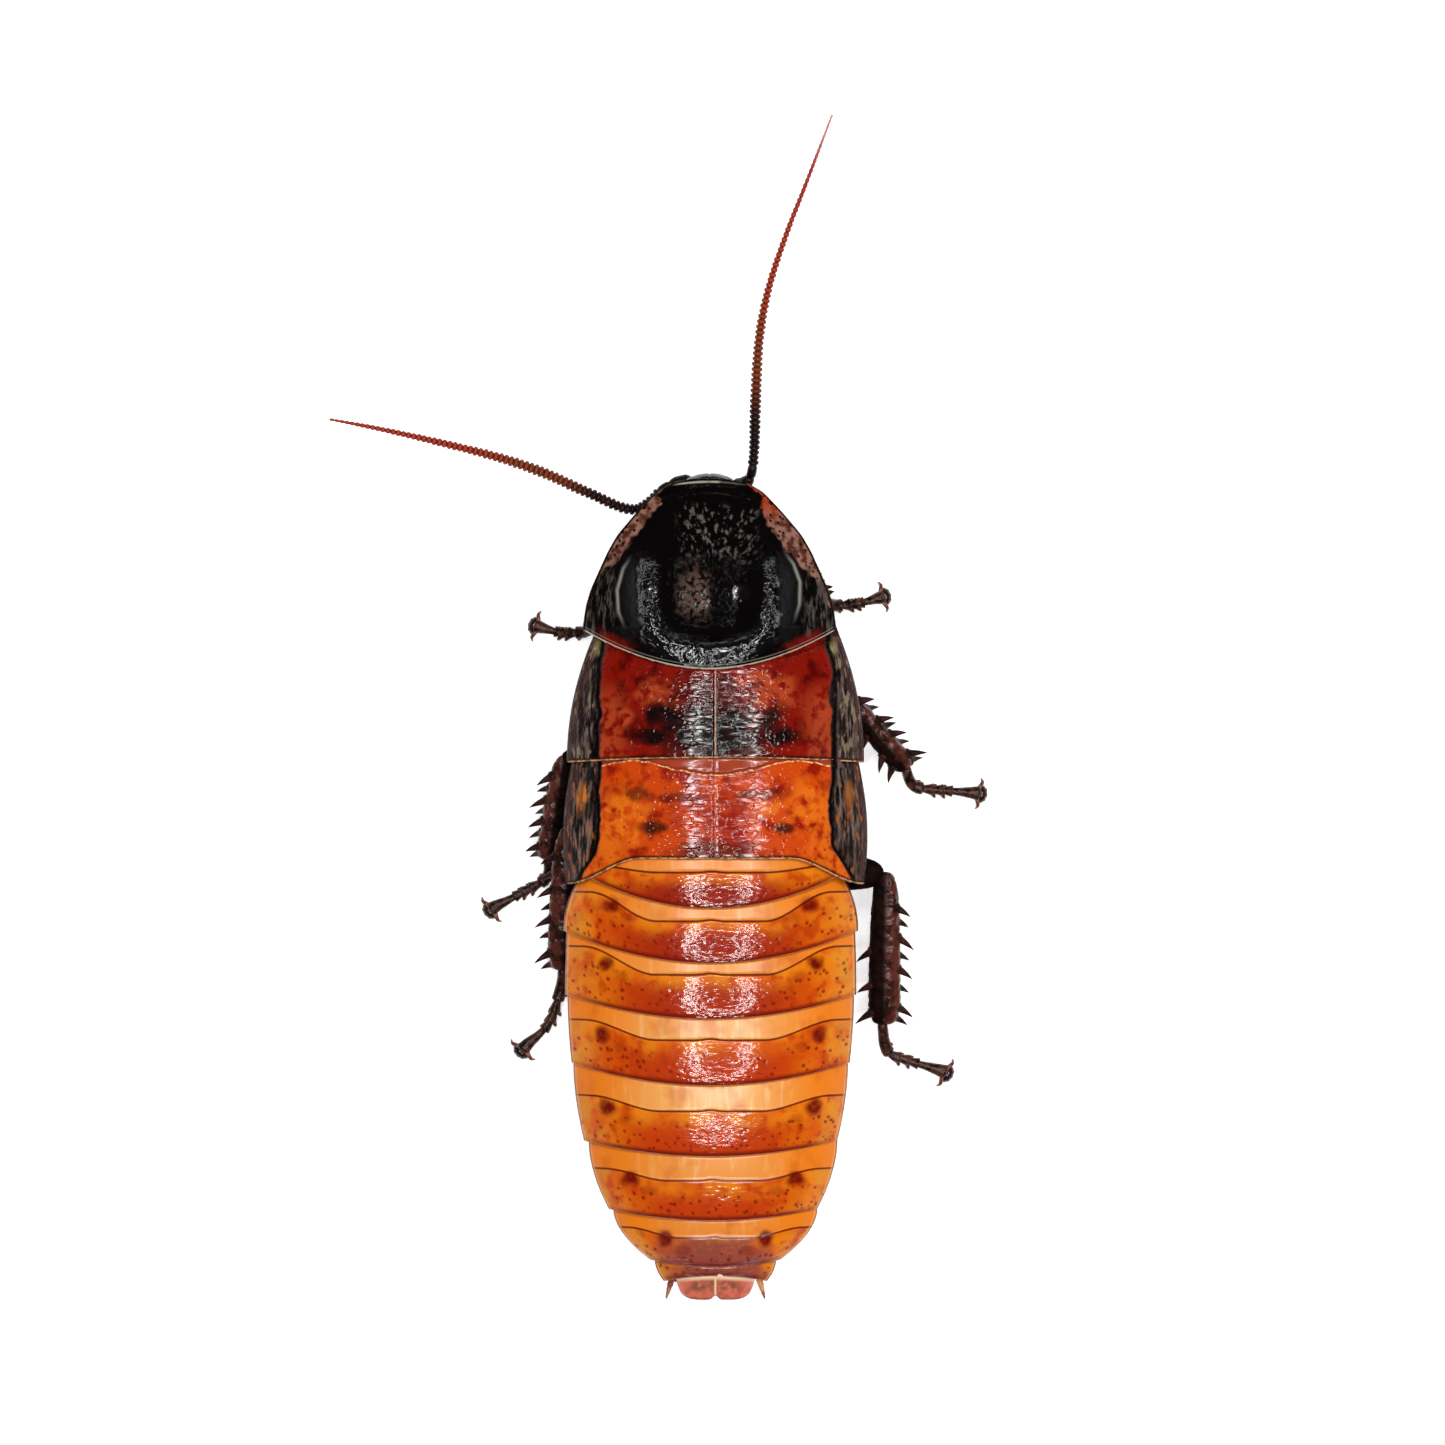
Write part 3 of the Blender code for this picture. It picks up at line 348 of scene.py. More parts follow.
def blot(x, y, middle, half, seed=1):
    """A soft patch that is 1 inside an uneven oval and 0 outside it."""
    away = np.hypot((x - middle[0]) / half[0], (y - middle[1]) / half[1])
    return ease(1.6 - away * 1.1 + 0.3 * hills(x, y, 0.7, seed))


def unit(vectors):
    """The vectors, each made one long."""
    return vectors / np.maximum(np.linalg.norm(vectors, axis=-1, keepdims=True), 1e-9)


def route_at(goals, places, route):
    """Points of a route at the goals, where its own points lie at places."""
    return np.stack([np.interp(goals, places, route[:, k]) for k in range(3)], -1)


def curve(points, values, count):
    """count points at even spacing on a smooth curve through the points, and the values along it."""
    points, values = np.array(points, float), np.array(values, float)
    knots = np.arange(len(points))
    padded = np.vstack([points[:1], points, points[-1:]])
    fine = []
    for i in range(len(points) - 1):
        before, start, end, after = padded[i:i + 4]
        t = np.linspace(0, 1, 24, endpoint=False)[:, None]
        square = 2 * before - 5 * start + 4 * end - after
        cube = 3 * start - before - 3 * end + after
        fine.append(0.5 * (2 * start + (end - before) * t + square * t ** 2 + cube * t ** 3))
    fine = np.vstack(fine + [points[-1:]])
    steps = np.append(0, np.cumsum(np.linalg.norm(np.diff(fine, axis=0), axis=1)))
    goals = np.linspace(0, steps[-1], count)
    shares = np.interp(goals, steps, np.linspace(0, knots[-1], len(fine)))
    return route_at(goals, steps, fine), np.interp(shares, knots, values)


def grid_faces(rows, columns, wrap=False):
    """Faces of a grid of points, closed to a tube where it wraps."""
    index = np.arange(rows * columns).reshape(rows, columns)
    if wrap:
        index = np.hstack([index, index[:, :1]])
    return np.stack([index[:-1, :-1], index[:-1, 1:], index[1:, 1:], index[1:, :-1]], -1).reshape(-1, 4)


class Skin:
    """Points, faces and named fields of one mesh, to which several forms can be added."""

    def __init__(self):
        self.points, self.faces, self.fields, self.count = [], [], {}, 0

    def add(self, points, faces, **fields):
        points = np.reshape(points, (-1, 3))
        for name in {**self.fields, **fields}:
            values = np.broadcast_to(np.ravel(fields.get(name, 0.0)), len(points))
            self.fields.setdefault(name, [np.zeros(self.count)]).append(values)
        self.points.append(points)
        self.faces.extend((np.asarray(face) + self.count).tolist() for face in faces)
        self.count += len(points)

    def tube(self, rings, **fields):
        """A skin round rings of points, an array of (ring, point, 3), with its ends closed."""
        rows, columns = rings.shape[:2]
        faces = list(grid_faces(rows, columns, wrap=True))
        faces += [np.arange(columns)[::-1], np.arange(columns) + (rows - 1) * columns]
        fields = {name: np.broadcast_to(values, (rows, columns)) for name, values in fields.items()}
        self.add(rings, faces, **fields)

    def make(self, name, paint, slot, replaced=()):
        mesh = bpy.data.meshes.new(name)
        points = (np.vstack(self.points) + OFFSET) * MM
        mesh.from_pydata(points.tolist(), [], self.faces)
        mesh.validate()
        for field, values in self.fields.items():
            values = np.concatenate(values).astype(np.float32)
            mesh.attributes.new(field, "FLOAT", "POINT").data.foreach_set("value", values)
        mesh.shade_smooth()
        mesh.materials.append(materials[paint])
        piece = bpy.data.objects.new(name, mesh)
        bpy.context.scene.collection.objects.link(piece)
        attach(piece, "root")
        if replaced:
            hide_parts(*replaced)


def add_shell(skin, top, thickness=SHELL, **fields):
    """A grid of points as the outside of a thin closed plate with rounded edges."""
    rows, columns = top.shape[:2]
    normals = unit(np.cross(np.gradient(top, axis=1), np.gradient(top, axis=0)))
    under = top - normals * thickness
    index = np.arange(rows * columns).reshape(rows, columns)
    rim = np.concatenate([index[0], index[1:-1, -1], index[-1, ::-1], index[-2:0:-1, 0]])
    inside = np.clip(np.arange(rows), 1, rows - 2)[:, None], np.clip(np.arange(columns), 1, columns - 2)[None]
    outward = unit(top - top[inside]).reshape(-1, 3)[rim]
    ridge = (top.reshape(-1, 3)[rim] + under.reshape(-1, 3)[rim]) / 2 + outward * thickness * 0.4
    faces = list(grid_faces(rows, columns)[:, ::-1])
    faces += list(grid_faces(rows, columns) + rows * columns)
    first, second = rim, rim + rows * columns
    middle = np.arange(len(rim)) + 2 * rows * columns
    for low, high in ((middle, first), (second, middle)):
        faces += list(np.stack([high, np.roll(high, -1), np.roll(low, -1), low], -1))
    both = {}
    for name, values in fields.items():
        values = np.broadcast_to(values, (rows, columns)).ravel()
        both[name] = np.concatenate([values, values, values[rim]])
    skin.add(np.concatenate([top.reshape(-1, 3), under.reshape(-1, 3), ridge]), faces, **both)


def curl_sides(top, fields, sign=-1):
    """Adds columns to a plate's grid that curl round its sides, down on the back and up on the belly."""
    columns = [top]
    for out, down in SIDE_CURL:
        for side, edge in ((0, -1.0), (-1, 1.0)):
            step = np.array([edge * out, 0.0, sign * down])
            new = top[:, [side]] + step
            columns = [new] + columns if side == 0 else columns + [new]
    count = len(SIDE_CURL)
    fields = {name: np.pad(np.broadcast_to(values, top.shape[:2]), ((0, 0), (count, count)), "edge")
              for name, values in fields.items()}
    return np.concatenate(columns, axis=1), fields


def add_lower_layer(skin, x, y, middle, start=0.0):
    """The lower layer of a plate's two sides. It closes the way in between this plate and the next. It
    begins at a share of the plate's length, where it is narrow."""
    rows = np.linspace(start * (len(x) - 1), len(x) - 1, max(len(x) // 3, 12)).round().astype(int)
    grow = np.clip(np.linspace(0.1, 3.0, len(rows)), 0, 1)[:, None]
    for side, inward in ((0, np.linspace(0, LAYER_WIDE, 8)), (-1, np.linspace(LAYER_WIDE, 0, 8))):
        share = 1 - inward * grow
        edge_x, edge_y = x[rows, side][:, None], y[rows, side][:, None]
        length = edge_y[-1] - edge_y[0]
        edge_y = edge_y[0] + (edge_y - edge_y[0]) * (1 - LAYER_SHORTER / length)
        low = at(PLATE_EDGE, edge_y) + 0.1 - 0.9 * (1 - share)
        add_shell(skin, joined(middle + (edge_x - middle) * share, edge_y, low), LAYER_THICK)


def plate_skin(points, fields, thickness=SHELL):
    """The skin of a back plate, from a grid of points on its outside."""
    skin = Skin()
    top, fields = curl_sides(points, fields)
    add_shell(skin, top, thickness, **fields)
    return skin


def across(columns):
    """Places across a plate from -1 to 1, closer together at its sides."""
    places = np.linspace(-1, 1, columns)
    return 0.45 * places + 0.55 * np.sin(places * math.pi / 2)


def rear_of(plate, x):
    """y of a back plate's rear margin."""
    t = np.minimum(np.abs(x - plate.shift) / plate.wide[1], 1.0)
    bow = ease((t - 0.5) / 0.5) if plate.name == "metanotum" else t * t
    return plate.rear[0] + (plate.rear[1] - plate.rear[0]) * bow


def width_along(plate, share):
    """Half width of a back plate at a share of its length."""
    first, last = plate.wide
    share = np.clip(share, 0, 1)
    bulge = 0.35 * np.sin(share * math.pi) if plate.name == "metanotum" else 0
    return first + (last - first) * (1 - (1 - share) ** 2 if last > first else share ** NARROWING) + bulge


def pronotum_rear(x):
    """y of the pronotum's rear margin."""
    t = np.minimum(np.abs(x - PRONOTUM_SHIFT) / PRONOTUM_HALF, 1.0)
    return PRONOTUM_REAR[0] + (PRONOTUM_REAR[1] - PRONOTUM_REAR[0]) * t ** 1.9


def arch(t, low, high):
    """Height of an arched back, low at its sides and high in the middle."""
    return low + (high - low) * np.maximum(1 - t * t, 0.0) ** ARCH_POWER


def line_of(plate, t, front):
    """y of the line where a plate's front band ends."""
    if plate.name == "metanotum":
        return at(METANOTUM_LINE, np.abs(t) * plate.wide[0]) + 0.06 * hills(t * 12, 0 * t, 0.4, 2)
    if plate.line is None:
        return front - OVERLAP
    bow = ease((np.abs(t) - 0.38) / 0.5)
    kink = 0.12 * peak(t, 0.06)
    return plate.line[0] + (plate.line[1] - plate.line[0]) * bow - kink


def disc_edge(plate, x, y, share):
    """How far inside the groove that parts the disc of a wing plate from its side band, in mm."""
    if plate.name == "metanotum":
        groove = DISC_HALF + 1.6 * ease((share - 0.72) / 0.28)
    else:
        groove = DISC_HALF - 0.5 * ease(1 - share * 4)
    inside = groove - np.abs(x - plate.shift) + 0.22 * hills(x * 0.3, y, 1.1, 3)
    return inside + 0.06 * hills(x * 0.3, y, 0.4, 4)


def wing_relief(plate, x, y, inside, before, fields):
    """Relief and markings of the mesonotum and metanotum, and where their painted sheen lies. DARK and WARM
    list their patches, and a third table the patches of painted sheen.
    """
    middle = x - plate.shift
    ridge = 0.12 * peak(middle, 0.09)
    groove = -0.2 * peak(inside + 0.1, 0.25) + 0.12 * peak(inside + 0.7, 0.5)
    wrinkle = 0.02 * hills(x * 0.5, y * 2.4, 0.5, 11) * ease(inside / 2)
    streaks = 0.05 * hills(x * 2.6, y * 0.35, 0.7, 12) * ease(-inside / 0.5)
    dark, warm = np.zeros_like(x), np.zeros_like(x)
    for number, (strength, *patch) in enumerate(DARK[plate.name]):
        dark = np.maximum(dark, strength * blot(middle, y, *patch, number))
    for number, patch in enumerate(WARM[plate.name]):
        warm = np.maximum(warm, blot(middle, y, *patch, number + 20))
    for place in RIBBED[plate.name]:
        ribs = blot(middle, y, place, (1.5, 0.75), 5)
        wrinkle = wrinkle + ribs * (0.014 * np.sin(middle * 17) - 0.08)
    red = ease(1.3 - np.abs(middle) / RED_HALF[plate.name] + 0.3 * hills(x, y, 1.6, 15))
    red = red * ease((y - plate.rear[0] + 6.6) / 1.5)
    warm = np.maximum(warm, ease((np.abs(middle) - 6.5) / 2.5) * ease((y - plate.rear[0] + 7) / 3.0) * 0.8)
    # Where the painted sheen, a pale painted highlight, lies
    glow = blot(np.abs(middle), y, *PAINTED_SHEEN[plate.name], 17)
    fields.update(disc=inside, dark=dark, warm=warm, red=red, middle=np.abs(middle), glow=glow)
    if plate.name == "metanotum":
        wrinkle = wrinkle + 0.1 * peak(fields["line"], 0.12)
    return ridge + groove + wrinkle + streaks - 0.06 * peak(before, 0.25)


def tergite_relief(plate, x, y, behind, before, fields):
    """Relief and markings of a plate of the abdomen."""
    away, chance = pores(x, before, 0.66, len(plate.name) + int(plate.rear[0]))
    sparse = 0.5 - 0.3 * ease((1.6 - before) / 1.2)
    pit = ease((0.05 + 0.11 * chance - away) / 0.09 + 0.5) * (chance > sparse)
    pit = pit * ease((behind - 0.8) / 0.6) * ease((before - 0.25) / 0.15)
    spot = np.zeros_like(x)
    if plate.spot:
        side = np.abs(x - plate.shift)
        spot = blot(side, y, plate.spot, (0.68, 0.62), 9)
        beside = (plate.spot[0] - 1.5, plate.spot[1] + 1.0)
        spot = np.maximum(spot, 0.35 * blot(side, y, beside, (0.6, 0.4), 10))
    dusk = ease((y - 63.2) / 1.6) * ease(1.5 - np.abs(x - plate.shift) / 4.2 + 0.3 * hills(x, y, 0.9, 16))
    fields.update(pit=pit, spot=spot, pale=plate.pale, red=plate.red, dusk=dusk)
    groove = -0.07 * peak(behind, 0.09)
    lip = -0.05 * peak(before, 0.2) - 0.1 * ease((1.6 - before) / 1.6) ** 2
    rough = ease(behind) * (0.01 * hills(x * 0.8, y * 1.8, 0.4, 13) + 0.02 * hills(x, y, 1.7, 14))
    return groove + lip + rough - 0.02 * pit - 0.04 * spot


def make_back_plates():
    rears = [pronotum_rear]
    for plate in PLATES:
        length = plate.rear[0] - float(max(rear(np.array(plate.shift)) for rear in rears)) + OVERLAP
        t = across(int(2 * max(plate.wide) / MESH_STEP))
        front = np.max([rear(plate.shift + t * plate.wide[0]) for rear in rears], axis=0) + 0.05
        rear = rear_of(plate, plate.shift + t * plate.wide[1])
        steps = np.linspace(0, 1, max(int(length / MESH_STEP), 12))[:, None]
        y = front - OVERLAP + (rear - front + OVERLAP) * steps
        share = (y - front) / (rear - front)
        wide = width_along(plate, share) - 0.3 * np.maximum(front - y, 0)
        x = plate.shift + t * wide
        line = line_of(plate, t, front)
        behind, before = y - line, rear - y
        fields = {"line": behind, "rear": before, "side": (1 - np.abs(t)) * wide, "across": np.abs(t)}
        main = np.clip(behind / np.maximum(rear - line, 0.1), 0, 1)
        drop = LINE_DROP * (1 - main) ** 1.5 + (BAND_DROP - LINE_DROP) * ease((0.05 - behind) / 0.3)
        drop = drop + 0.12 * np.maximum(front - y, 0)
        wing = plate.name.endswith("notum")
        if wing:
            relief = wing_relief(plate, x, y, disc_edge(plate, x, y, share), before, fields)
        else:
            relief = tergite_relief(plate, x, y, behind, before, fields)
        z = arch(t, at(PLATE_EDGE, y) + PLATE_EDGE_THICK, at(CREST, y) - drop) + relief * (1 - t ** 6)
        z = z - 0.22 * ease((front + 0.12 - y) / 0.3)
        if plate.name == "mesonotum":
            z = np.minimum(z, under_pronotum(x, y) + 2.0 * ease((y - front) / 1.2))
        skin = plate_skin(joined(x, y, z), fields)
        add_lower_layer(skin, x, y, plate.shift)
        paint, slot = (plate.name, "wing_plates") if wing else ("abdomen", "abdomen")
        skin.make(plate.name + "_shell", paint, slot, [plate.name])
        rears.append(lambda x, plate=plate: rear_of(plate, x))


def away_from(x, y, points):
    """Distance to a line of joined points, and the share of the way along it."""
    nearest, share = np.full(np.shape(x), 99.0), np.zeros(np.shape(x))
    points = np.array(points)
    for i, (start, end) in enumerate(zip(points[:-1], points[1:])):
        step = end - start
        s = np.clip(((x - start[0]) * step[0] + (y - start[1]) * step[1]) / (step @ step), 0, 1)
        away = np.hypot(x - start[0] - s * step[0], y - start[1] - s * step[1])
        share = np.where(away < nearest, (i + s) / (len(points) - 1), share)
        nearest = np.minimum(away, nearest)
    return nearest, share


def pronotum_height(t, x, y, rear, edge):
    """The shield with its two horns, the ridge that joins them behind, and the basin between."""
    dome = edge + (at(CREST, y) - edge) * np.maximum(1 - np.abs(t) ** 2.3, 0.0) ** 1.05
    middle = np.abs(x - PRONOTUM_SHIFT)
    basin = ease((5.3 - middle) / 3.2) * ease((y - 4.8) / 3.4) * ease((rear - 1.7 - y) / 2.0)
    z = dome + (BASIN_FLOOR + 0.02 * (y - 9.0) + 0.008 * middle ** 2 - dome) * basin
    away, share = away_from(middle, y, HORN_RIDGE)
    outside = ease((middle - 5.4) / 0.5) * (y < 12.5)
    height = HORN_HEIGHT * ease(share / 0.3) * (1 - 0.78 * ease((share - 0.45) / 0.4))
    z = z + height * peak(away, 1.75 - 0.55 * outside) * (1 - basin * 0.3)
    valley = peak(rear - 2.75 - y, 0.5) * ease((4.8 - middle) / 1.5)
    rim = peak(y, 0.5) * (1 - t ** 4)
    fold = peak(y - 1.05 - 1.2 * t ** 2, 0.2) * (1 - t ** 4)
    groove = peak(middle, 0.14) * ease((y - 1.5) / 1.5) * ease((9 - y) / 2)
    return z - 0.25 * valley + FRONT_RIM * rim + 0.12 * fold - 0.12 * groove


def under_pronotum(x, y):
    """The highest that a point beneath the pronotum may lie."""
    rear = pronotum_rear(x)
    y = np.minimum(y, rear)
    t = np.clip((x - PRONOTUM_SHIFT) / PRONOTUM_HALF, -1, 1)
    return pronotum_height(t, x, y, rear, at(PLATE_EDGE, y) + PLATE_EDGE_THICK) - 0.4


def pronotum_fields(t, x, y, rear, wide, share, rim):
    """Where the pronotum has which marks, among them painted sheen and painted highlight lines, how it
    shines, and the distances from its edges.
    """
    before, side = rear - y, (1 - np.abs(t)) * wide
    right = x < PRONOTUM_SHIFT
    uneven = hills(x, y, 0.5, 25)
    right_strip = 1.4 * ease((y - 0.6) / 3.2) * ease((9.5 - y) / 3.5) + 0.4 * ease(12 - y)
    left_strip = 1.2 * ease((y - 1.3) / 0.8) * ease((8.4 - y) / 2.4) + 0.25 * ease(12 - y)
    strip = ease((np.where(right, right_strip, left_strip) - side + 0.28 * uneven) / 0.3)
    middle = np.abs(x - PRONOTUM_SHIFT)
    corner = ease((middle - 5.9 + 0.5 * uneven) / 1.3) * ease((9.9 - middle) / 1.2)
    corner = corner * ease((1.15 - before) / 0.7)
    # A fan of grey streaks over the front of the shield: painted sheen
    reach = np.hypot(x - PRONOTUM_SHIFT, 10.5 - y)
    turn = np.arctan2(x - PRONOTUM_SHIFT, 10.5 - y)
    fan = ease((hills(turn * 14, reach * 0.8, 0.35, 27) - 0.12) / 0.25) * ease((4.0 - np.abs(x + 0.5)) / 1.8)
    fan = fan * ease((y - 1.8) / 1.0) * ease((8.0 - y) / 2.5)
    ridge = peak(away_from(middle, y, HORN_RIDGE)[0], np.where(right, 0.95, 1.2)) * ease((y - 6.2) / 1.5)
    gloss = np.maximum(ridge, 0.5 * blot(x, y, (-2.3, 9.8), (1.0, 0.8), 28))
    gloss = np.maximum(gloss, 0.3 * blot(x, y, (1.2, 10.2), (1.6, 1.0), 29))
    inner = ease((6.15 - middle + 0.45 * uneven + 0.3 * hills(x, y, 1.3, 30)) / 0.7)
    return {"rear": before, "side": side, "strip": strip, "corner": corner, "rim": rim, "fan": fan,
            "gloss": gloss * inner, "flecked": ease(ridge * 2.2 - 0.5) * ease((13.6 - y) / 1.5) * inner,
            "middle": middle, "lead": share * rear, "brown": blot(x, y, (1.6, 9.6), (1.3, 2.0), 26),
            "front": ease((4.2 - y) / 2.5) * right,
            "flank": ease((middle - 7.7 + 0.3 * uneven) / 0.8) * ease((y - 6.5) / 2.5)}


def make_pronotum():
    t = across(250)
    share = np.linspace(0, 1, 180)[:, None]
    wide = np.interp(share * PRONOTUM_WIDE[-1][0], *zip(*PRONOTUM_WIDE))
    wide = smoothed(wide.ravel(), 6)[:, None]
    rear = pronotum_rear(PRONOTUM_SHIFT + t * PRONOTUM_HALF)
    x = PRONOTUM_SHIFT + t * wide
    y = share * rear + FRONT_BOW * t ** 2 * (1 - share) ** 6
    z = pronotum_height(t, x, y, rear, at(PLATE_EDGE, y) + PLATE_EDGE_THICK)
    away, chance = pores(x, y, 0.75, 21)
    pit = ease((0.1 + 0.08 * chance - away) / 0.08 + 0.5) * (chance > 0.35)
    rough = 0.02 * hills(x * 1.3, y, 0.42, 22) + 0.02 * hills(x, y, 1.1, 23) + 0.012 * hills(x, y, 0.2, 24)
    rim = np.zeros_like(x)
    for line in CRESCENTS:
        near, along = away_from(x - PRONOTUM_SHIFT, y, line)
        rim = np.maximum(rim, peak(near, 0.12) * ease(along / 0.35) * ease((1 - along) / 0.35))
    z = z + (rough - 0.05 * pit + 0.2 * rim) * (1 - t ** 6)
    fields = pronotum_fields(t, x, y, rear, wide, share, rim)
    skin = plate_skin(joined(x, y, z), fields, PRONOTUM_SHELL)
    add_lower_layer(skin, x, y, PRONOTUM_SHIFT, PRONOTUM_LAYER_FROM)
    skin.make("pronotum_shell", "pronotum", "pronotum", ["pronotum"])


def make_tail_plate():
    last = PLATES[-1]
    t = across(90)
    share = np.linspace(0, 1, 44)[:, None]
    wide = TAIL_PLATE_WIDE[0] + (TAIL_PLATE_WIDE[1] - TAIL_PLATE_WIDE[0]) * share ** 2
    x = last.shift + t * wide
    front = rear_of(last, last.shift + t * TAIL_PLATE_WIDE[0]) - TAIL_OVERLAP
    notch = TAIL_NOTCH * peak(t, 0.1) + TAIL_CORNER * t ** 6
    y = front + (TAIL_PLATE_REAR - notch - front) * share
    cleft = peak(x - last.shift, 0.1)
    z = arch(t, at(PLATE_EDGE, y) + PLATE_EDGE_THICK, at(CREST, y) - 0.15)
    z = z - 0.16 * cleft + 0.04 * hills(x, y, 0.6, 31) - 0.1 * ease((share - 0.85) / 0.15)
    fields = {"cleft": cleft, "behind": y - front - TAIL_OVERLAP, "rear": (1 - share) * 2,
              "across": np.abs(t)}
    skin = plate_skin(joined(x, y, z), fields)
    skin.make("supra_anal_plate_shell", "tail", "tail", ["supra_anal_plate"])


def sternum_height(t, y, share, flat):
    """Height of a belly plate. A higher value of flat makes it flatter in the middle."""
    edge = at(PLATE_EDGE, y) - 0.35 - STERNUM_EDGE_THICK
    deep = at(BELLY, y) + STERNUM_STEP * (1 - share)
    return edge + (deep - edge) * np.maximum(1 - np.abs(t) ** flat, 0.0) ** 0.7


def make_underside():
    front, front_wide = PROSTERNUM_FRONT, PROSTERNUM_WIDE
    for number, (name, rear, rear_wide) in enumerate(STERNA):
        t = across(150)
        share = np.linspace(-0.12, 1, max(int((rear - front) / 0.13), 16))[:, None]
        thorax = name.endswith("sternum")
        y = front + (rear - front) * share + 0.5 * t ** 2 * (share > 0) * share
        wide = front_wide + (rear_wide - front_wide) * share
        x = t * wide
        before = (1 - share) * (rear - front)
        away, chance = pores(x, y, 1.3, 40 + number)
        pit = ease((0.14 - away) / 0.08 + 0.5) * (chance > 0.5) * ease((share - 0.3) / 0.2)
        relief = 0.03 * hills(x, y, 1.3, 41) + 0.012 * hills(x, y, 0.3, 42) + 0.05 * pit
        relief = relief + 0.1 * ease(-share / 0.12) + 0.1 * peak(before, 0.25)
        z = sternum_height(t, y, share, 4 if thorax else 2) + relief * (1 - t ** 6)
        fields = {"rear": before, "side": (1 - np.abs(t)) * wide, "pit": pit, "thorax": float(thorax)}
        top, fields = curl_sides(joined(x, y, z), fields, sign=1)
        skin = Skin()
        add_shell(skin, top[:, ::-1], **{key: values[:, ::-1] for key, values in fields.items()})
        skin.make(name + "_shell", "underside", "underside", [name])
        front, front_wide = rear, rear_wide


def make_body():
    """The soft skin between the plates of the back and of the belly. It narrows at the neck, and a plug of it
    closes the rear."""
    y = np.linspace(*MEMBRANE_ENDS, 170)[:, None]
    angle = circle(96)
    wide = np.interp(y, *zip(*MEMBRANE_WIDE)) - MEMBRANE_INSET
    edge = at(PLATE_EDGE, y) + 0.05
    top = np.minimum(at(CREST, y) - 1.1, 13.0)
    s = np.sin(angle)
    above = edge + (top - edge) * np.abs(s) ** 2.2
    deep = edge - 0.2 - at(BELLY, y) - 0.9 + 0.35 * ease((y - 65) / 2.5)
    below = edge - 0.2 - deep * np.abs(s) ** 1.2
    z = np.where(s >= 0, above, below) + 0.05 * hills(y * 2.2, angle * 9, 0.8, 51)
    neck = np.sqrt(np.clip((y - y[0]) / 2.5, 0.0, 1.0)) * 0.75 + 0.25
    close = neck * (np.sqrt(np.clip((y[-1] - y) / 0.7, 0.0, 1.0)) * 0.25 + 0.75)
    skin = Skin()
    skin.tube(joined(wide * np.cos(angle) * close, y, edge + (z - edge) * close), front=ease((36 - y) / 4))
    skin.make("body_membrane", "membrane", "underside")


def frames(route, tilt=UP):
    """For each point of a route: the directions to its side and over it."""
    along = unit(np.gradient(route, axis=0))
    side = unit(np.cross(along, tilt))
    return side, np.cross(side, along)


def rings(route, wide, thick, sides, power=2.0, lumps=0.0, seed=0):
    """Oval rings round a route. A power above 2 squares them, and lumps roughens them, in mm."""
    angle = circle(sides) + math.pi / sides
    side, over = frames(route)
    squash = (np.abs(np.cos(angle)) ** power + np.abs(np.sin(angle)) ** power) ** (-1 / power)
    steps = np.append(0, np.cumsum(np.linalg.norm(np.diff(route, axis=0), axis=1)))[:, None]
    grow = lumps * (hills(steps, angle * 1.2, 0.45, seed) + 0.5 * hills(steps, angle * 3.0, 0.2, seed + 1))
    a = (wide[:, None] * squash + grow) * np.cos(angle)
    b = (thick[:, None] * squash + grow) * np.sin(angle)
    return route[:, None] + side[:, None] * a[..., None] + over[:, None] * b[..., None]


def ball(skin, middle, half, turn=None, steps=20, lumps=0.0, **fields):
    """An oval body. turn lists three unit directions for its half sizes, and the field tip is 1 at the end
    of the first."""
    height = np.linspace(-math.pi / 2, math.pi / 2, steps)[:, None]
    angle = circle(steps * 2)
    shape = joined(np.cos(height) * np.cos(angle), np.cos(height) * np.sin(angle), np.sin(height))
    shape[[0, -1]] *= [0.001, 0.001, 1]
    shape = shape * (1 + lumps * hills(height * 4, angle * 2, 0.6, 3))[..., None]
    local = shape * np.array(half)
    if turn is not None:
        local = local @ np.array(turn)
    skin.tube(local + np.array(middle), tip=(shape[..., 0] + 1) / 2, **fields)


def outward(direction, start):
    """The level direction across a limb that points away from the body."""
    away = unit(np.cross(direction, UP))
    return away if away[0] * start[0] > 0 else -away


def limb(start, end, profile, size, sides=40, step=0.12, power=2.0, lumps=0.03, seed=0):
    """Rings of a limb with rounded ends, from its profile of (place along it, share of the full size). The
    second value tells how far each point faces away from the body, from -1 to 1."""
    start, end = np.array(start), np.array(end)
    length = np.linalg.norm(end - start)
    share = np.linspace(-LIMB_END / length, 1 + LIMB_END / length, int(length / step))
    close = np.minimum(share - share[0], share[-1] - share) * length / (2 * LIMB_END)
    cap = np.sqrt(np.clip(1 - (1 - np.clip(close, 0, 1)) ** 2, 0.0004, 1))
    scale = profile_at(profile, np.clip(share, 0, 1)) * cap
    route = start + (end - start) * share[:, None]
    made = rings(route, size[0] * scale, size[1] * scale, sides, power, lumps, seed)
    return made, ((made - route[:, None]) @ outward(end - start, start)) / size[0]


def spine(skin, root, tip, radius, bend):
    """A curved thorn with a collar round its root."""
    share, scale = np.array(SPINE_PROFILE).T[..., None]
    route = root + (tip - root) * share + bend * (share * (1 - share)) * 4
    tilt = UP if abs(unit(tip - root)[2]) < 0.9 else np.array([1.0, 0, 0])
    side, over = frames(route, tilt)
    angle = circle(12)[:, None]
    round_it = side[:, None] * np.cos(angle) + over[:, None] * np.sin(angle)
    skin.tube(route[:, None] + round_it * radius * scale[..., None])


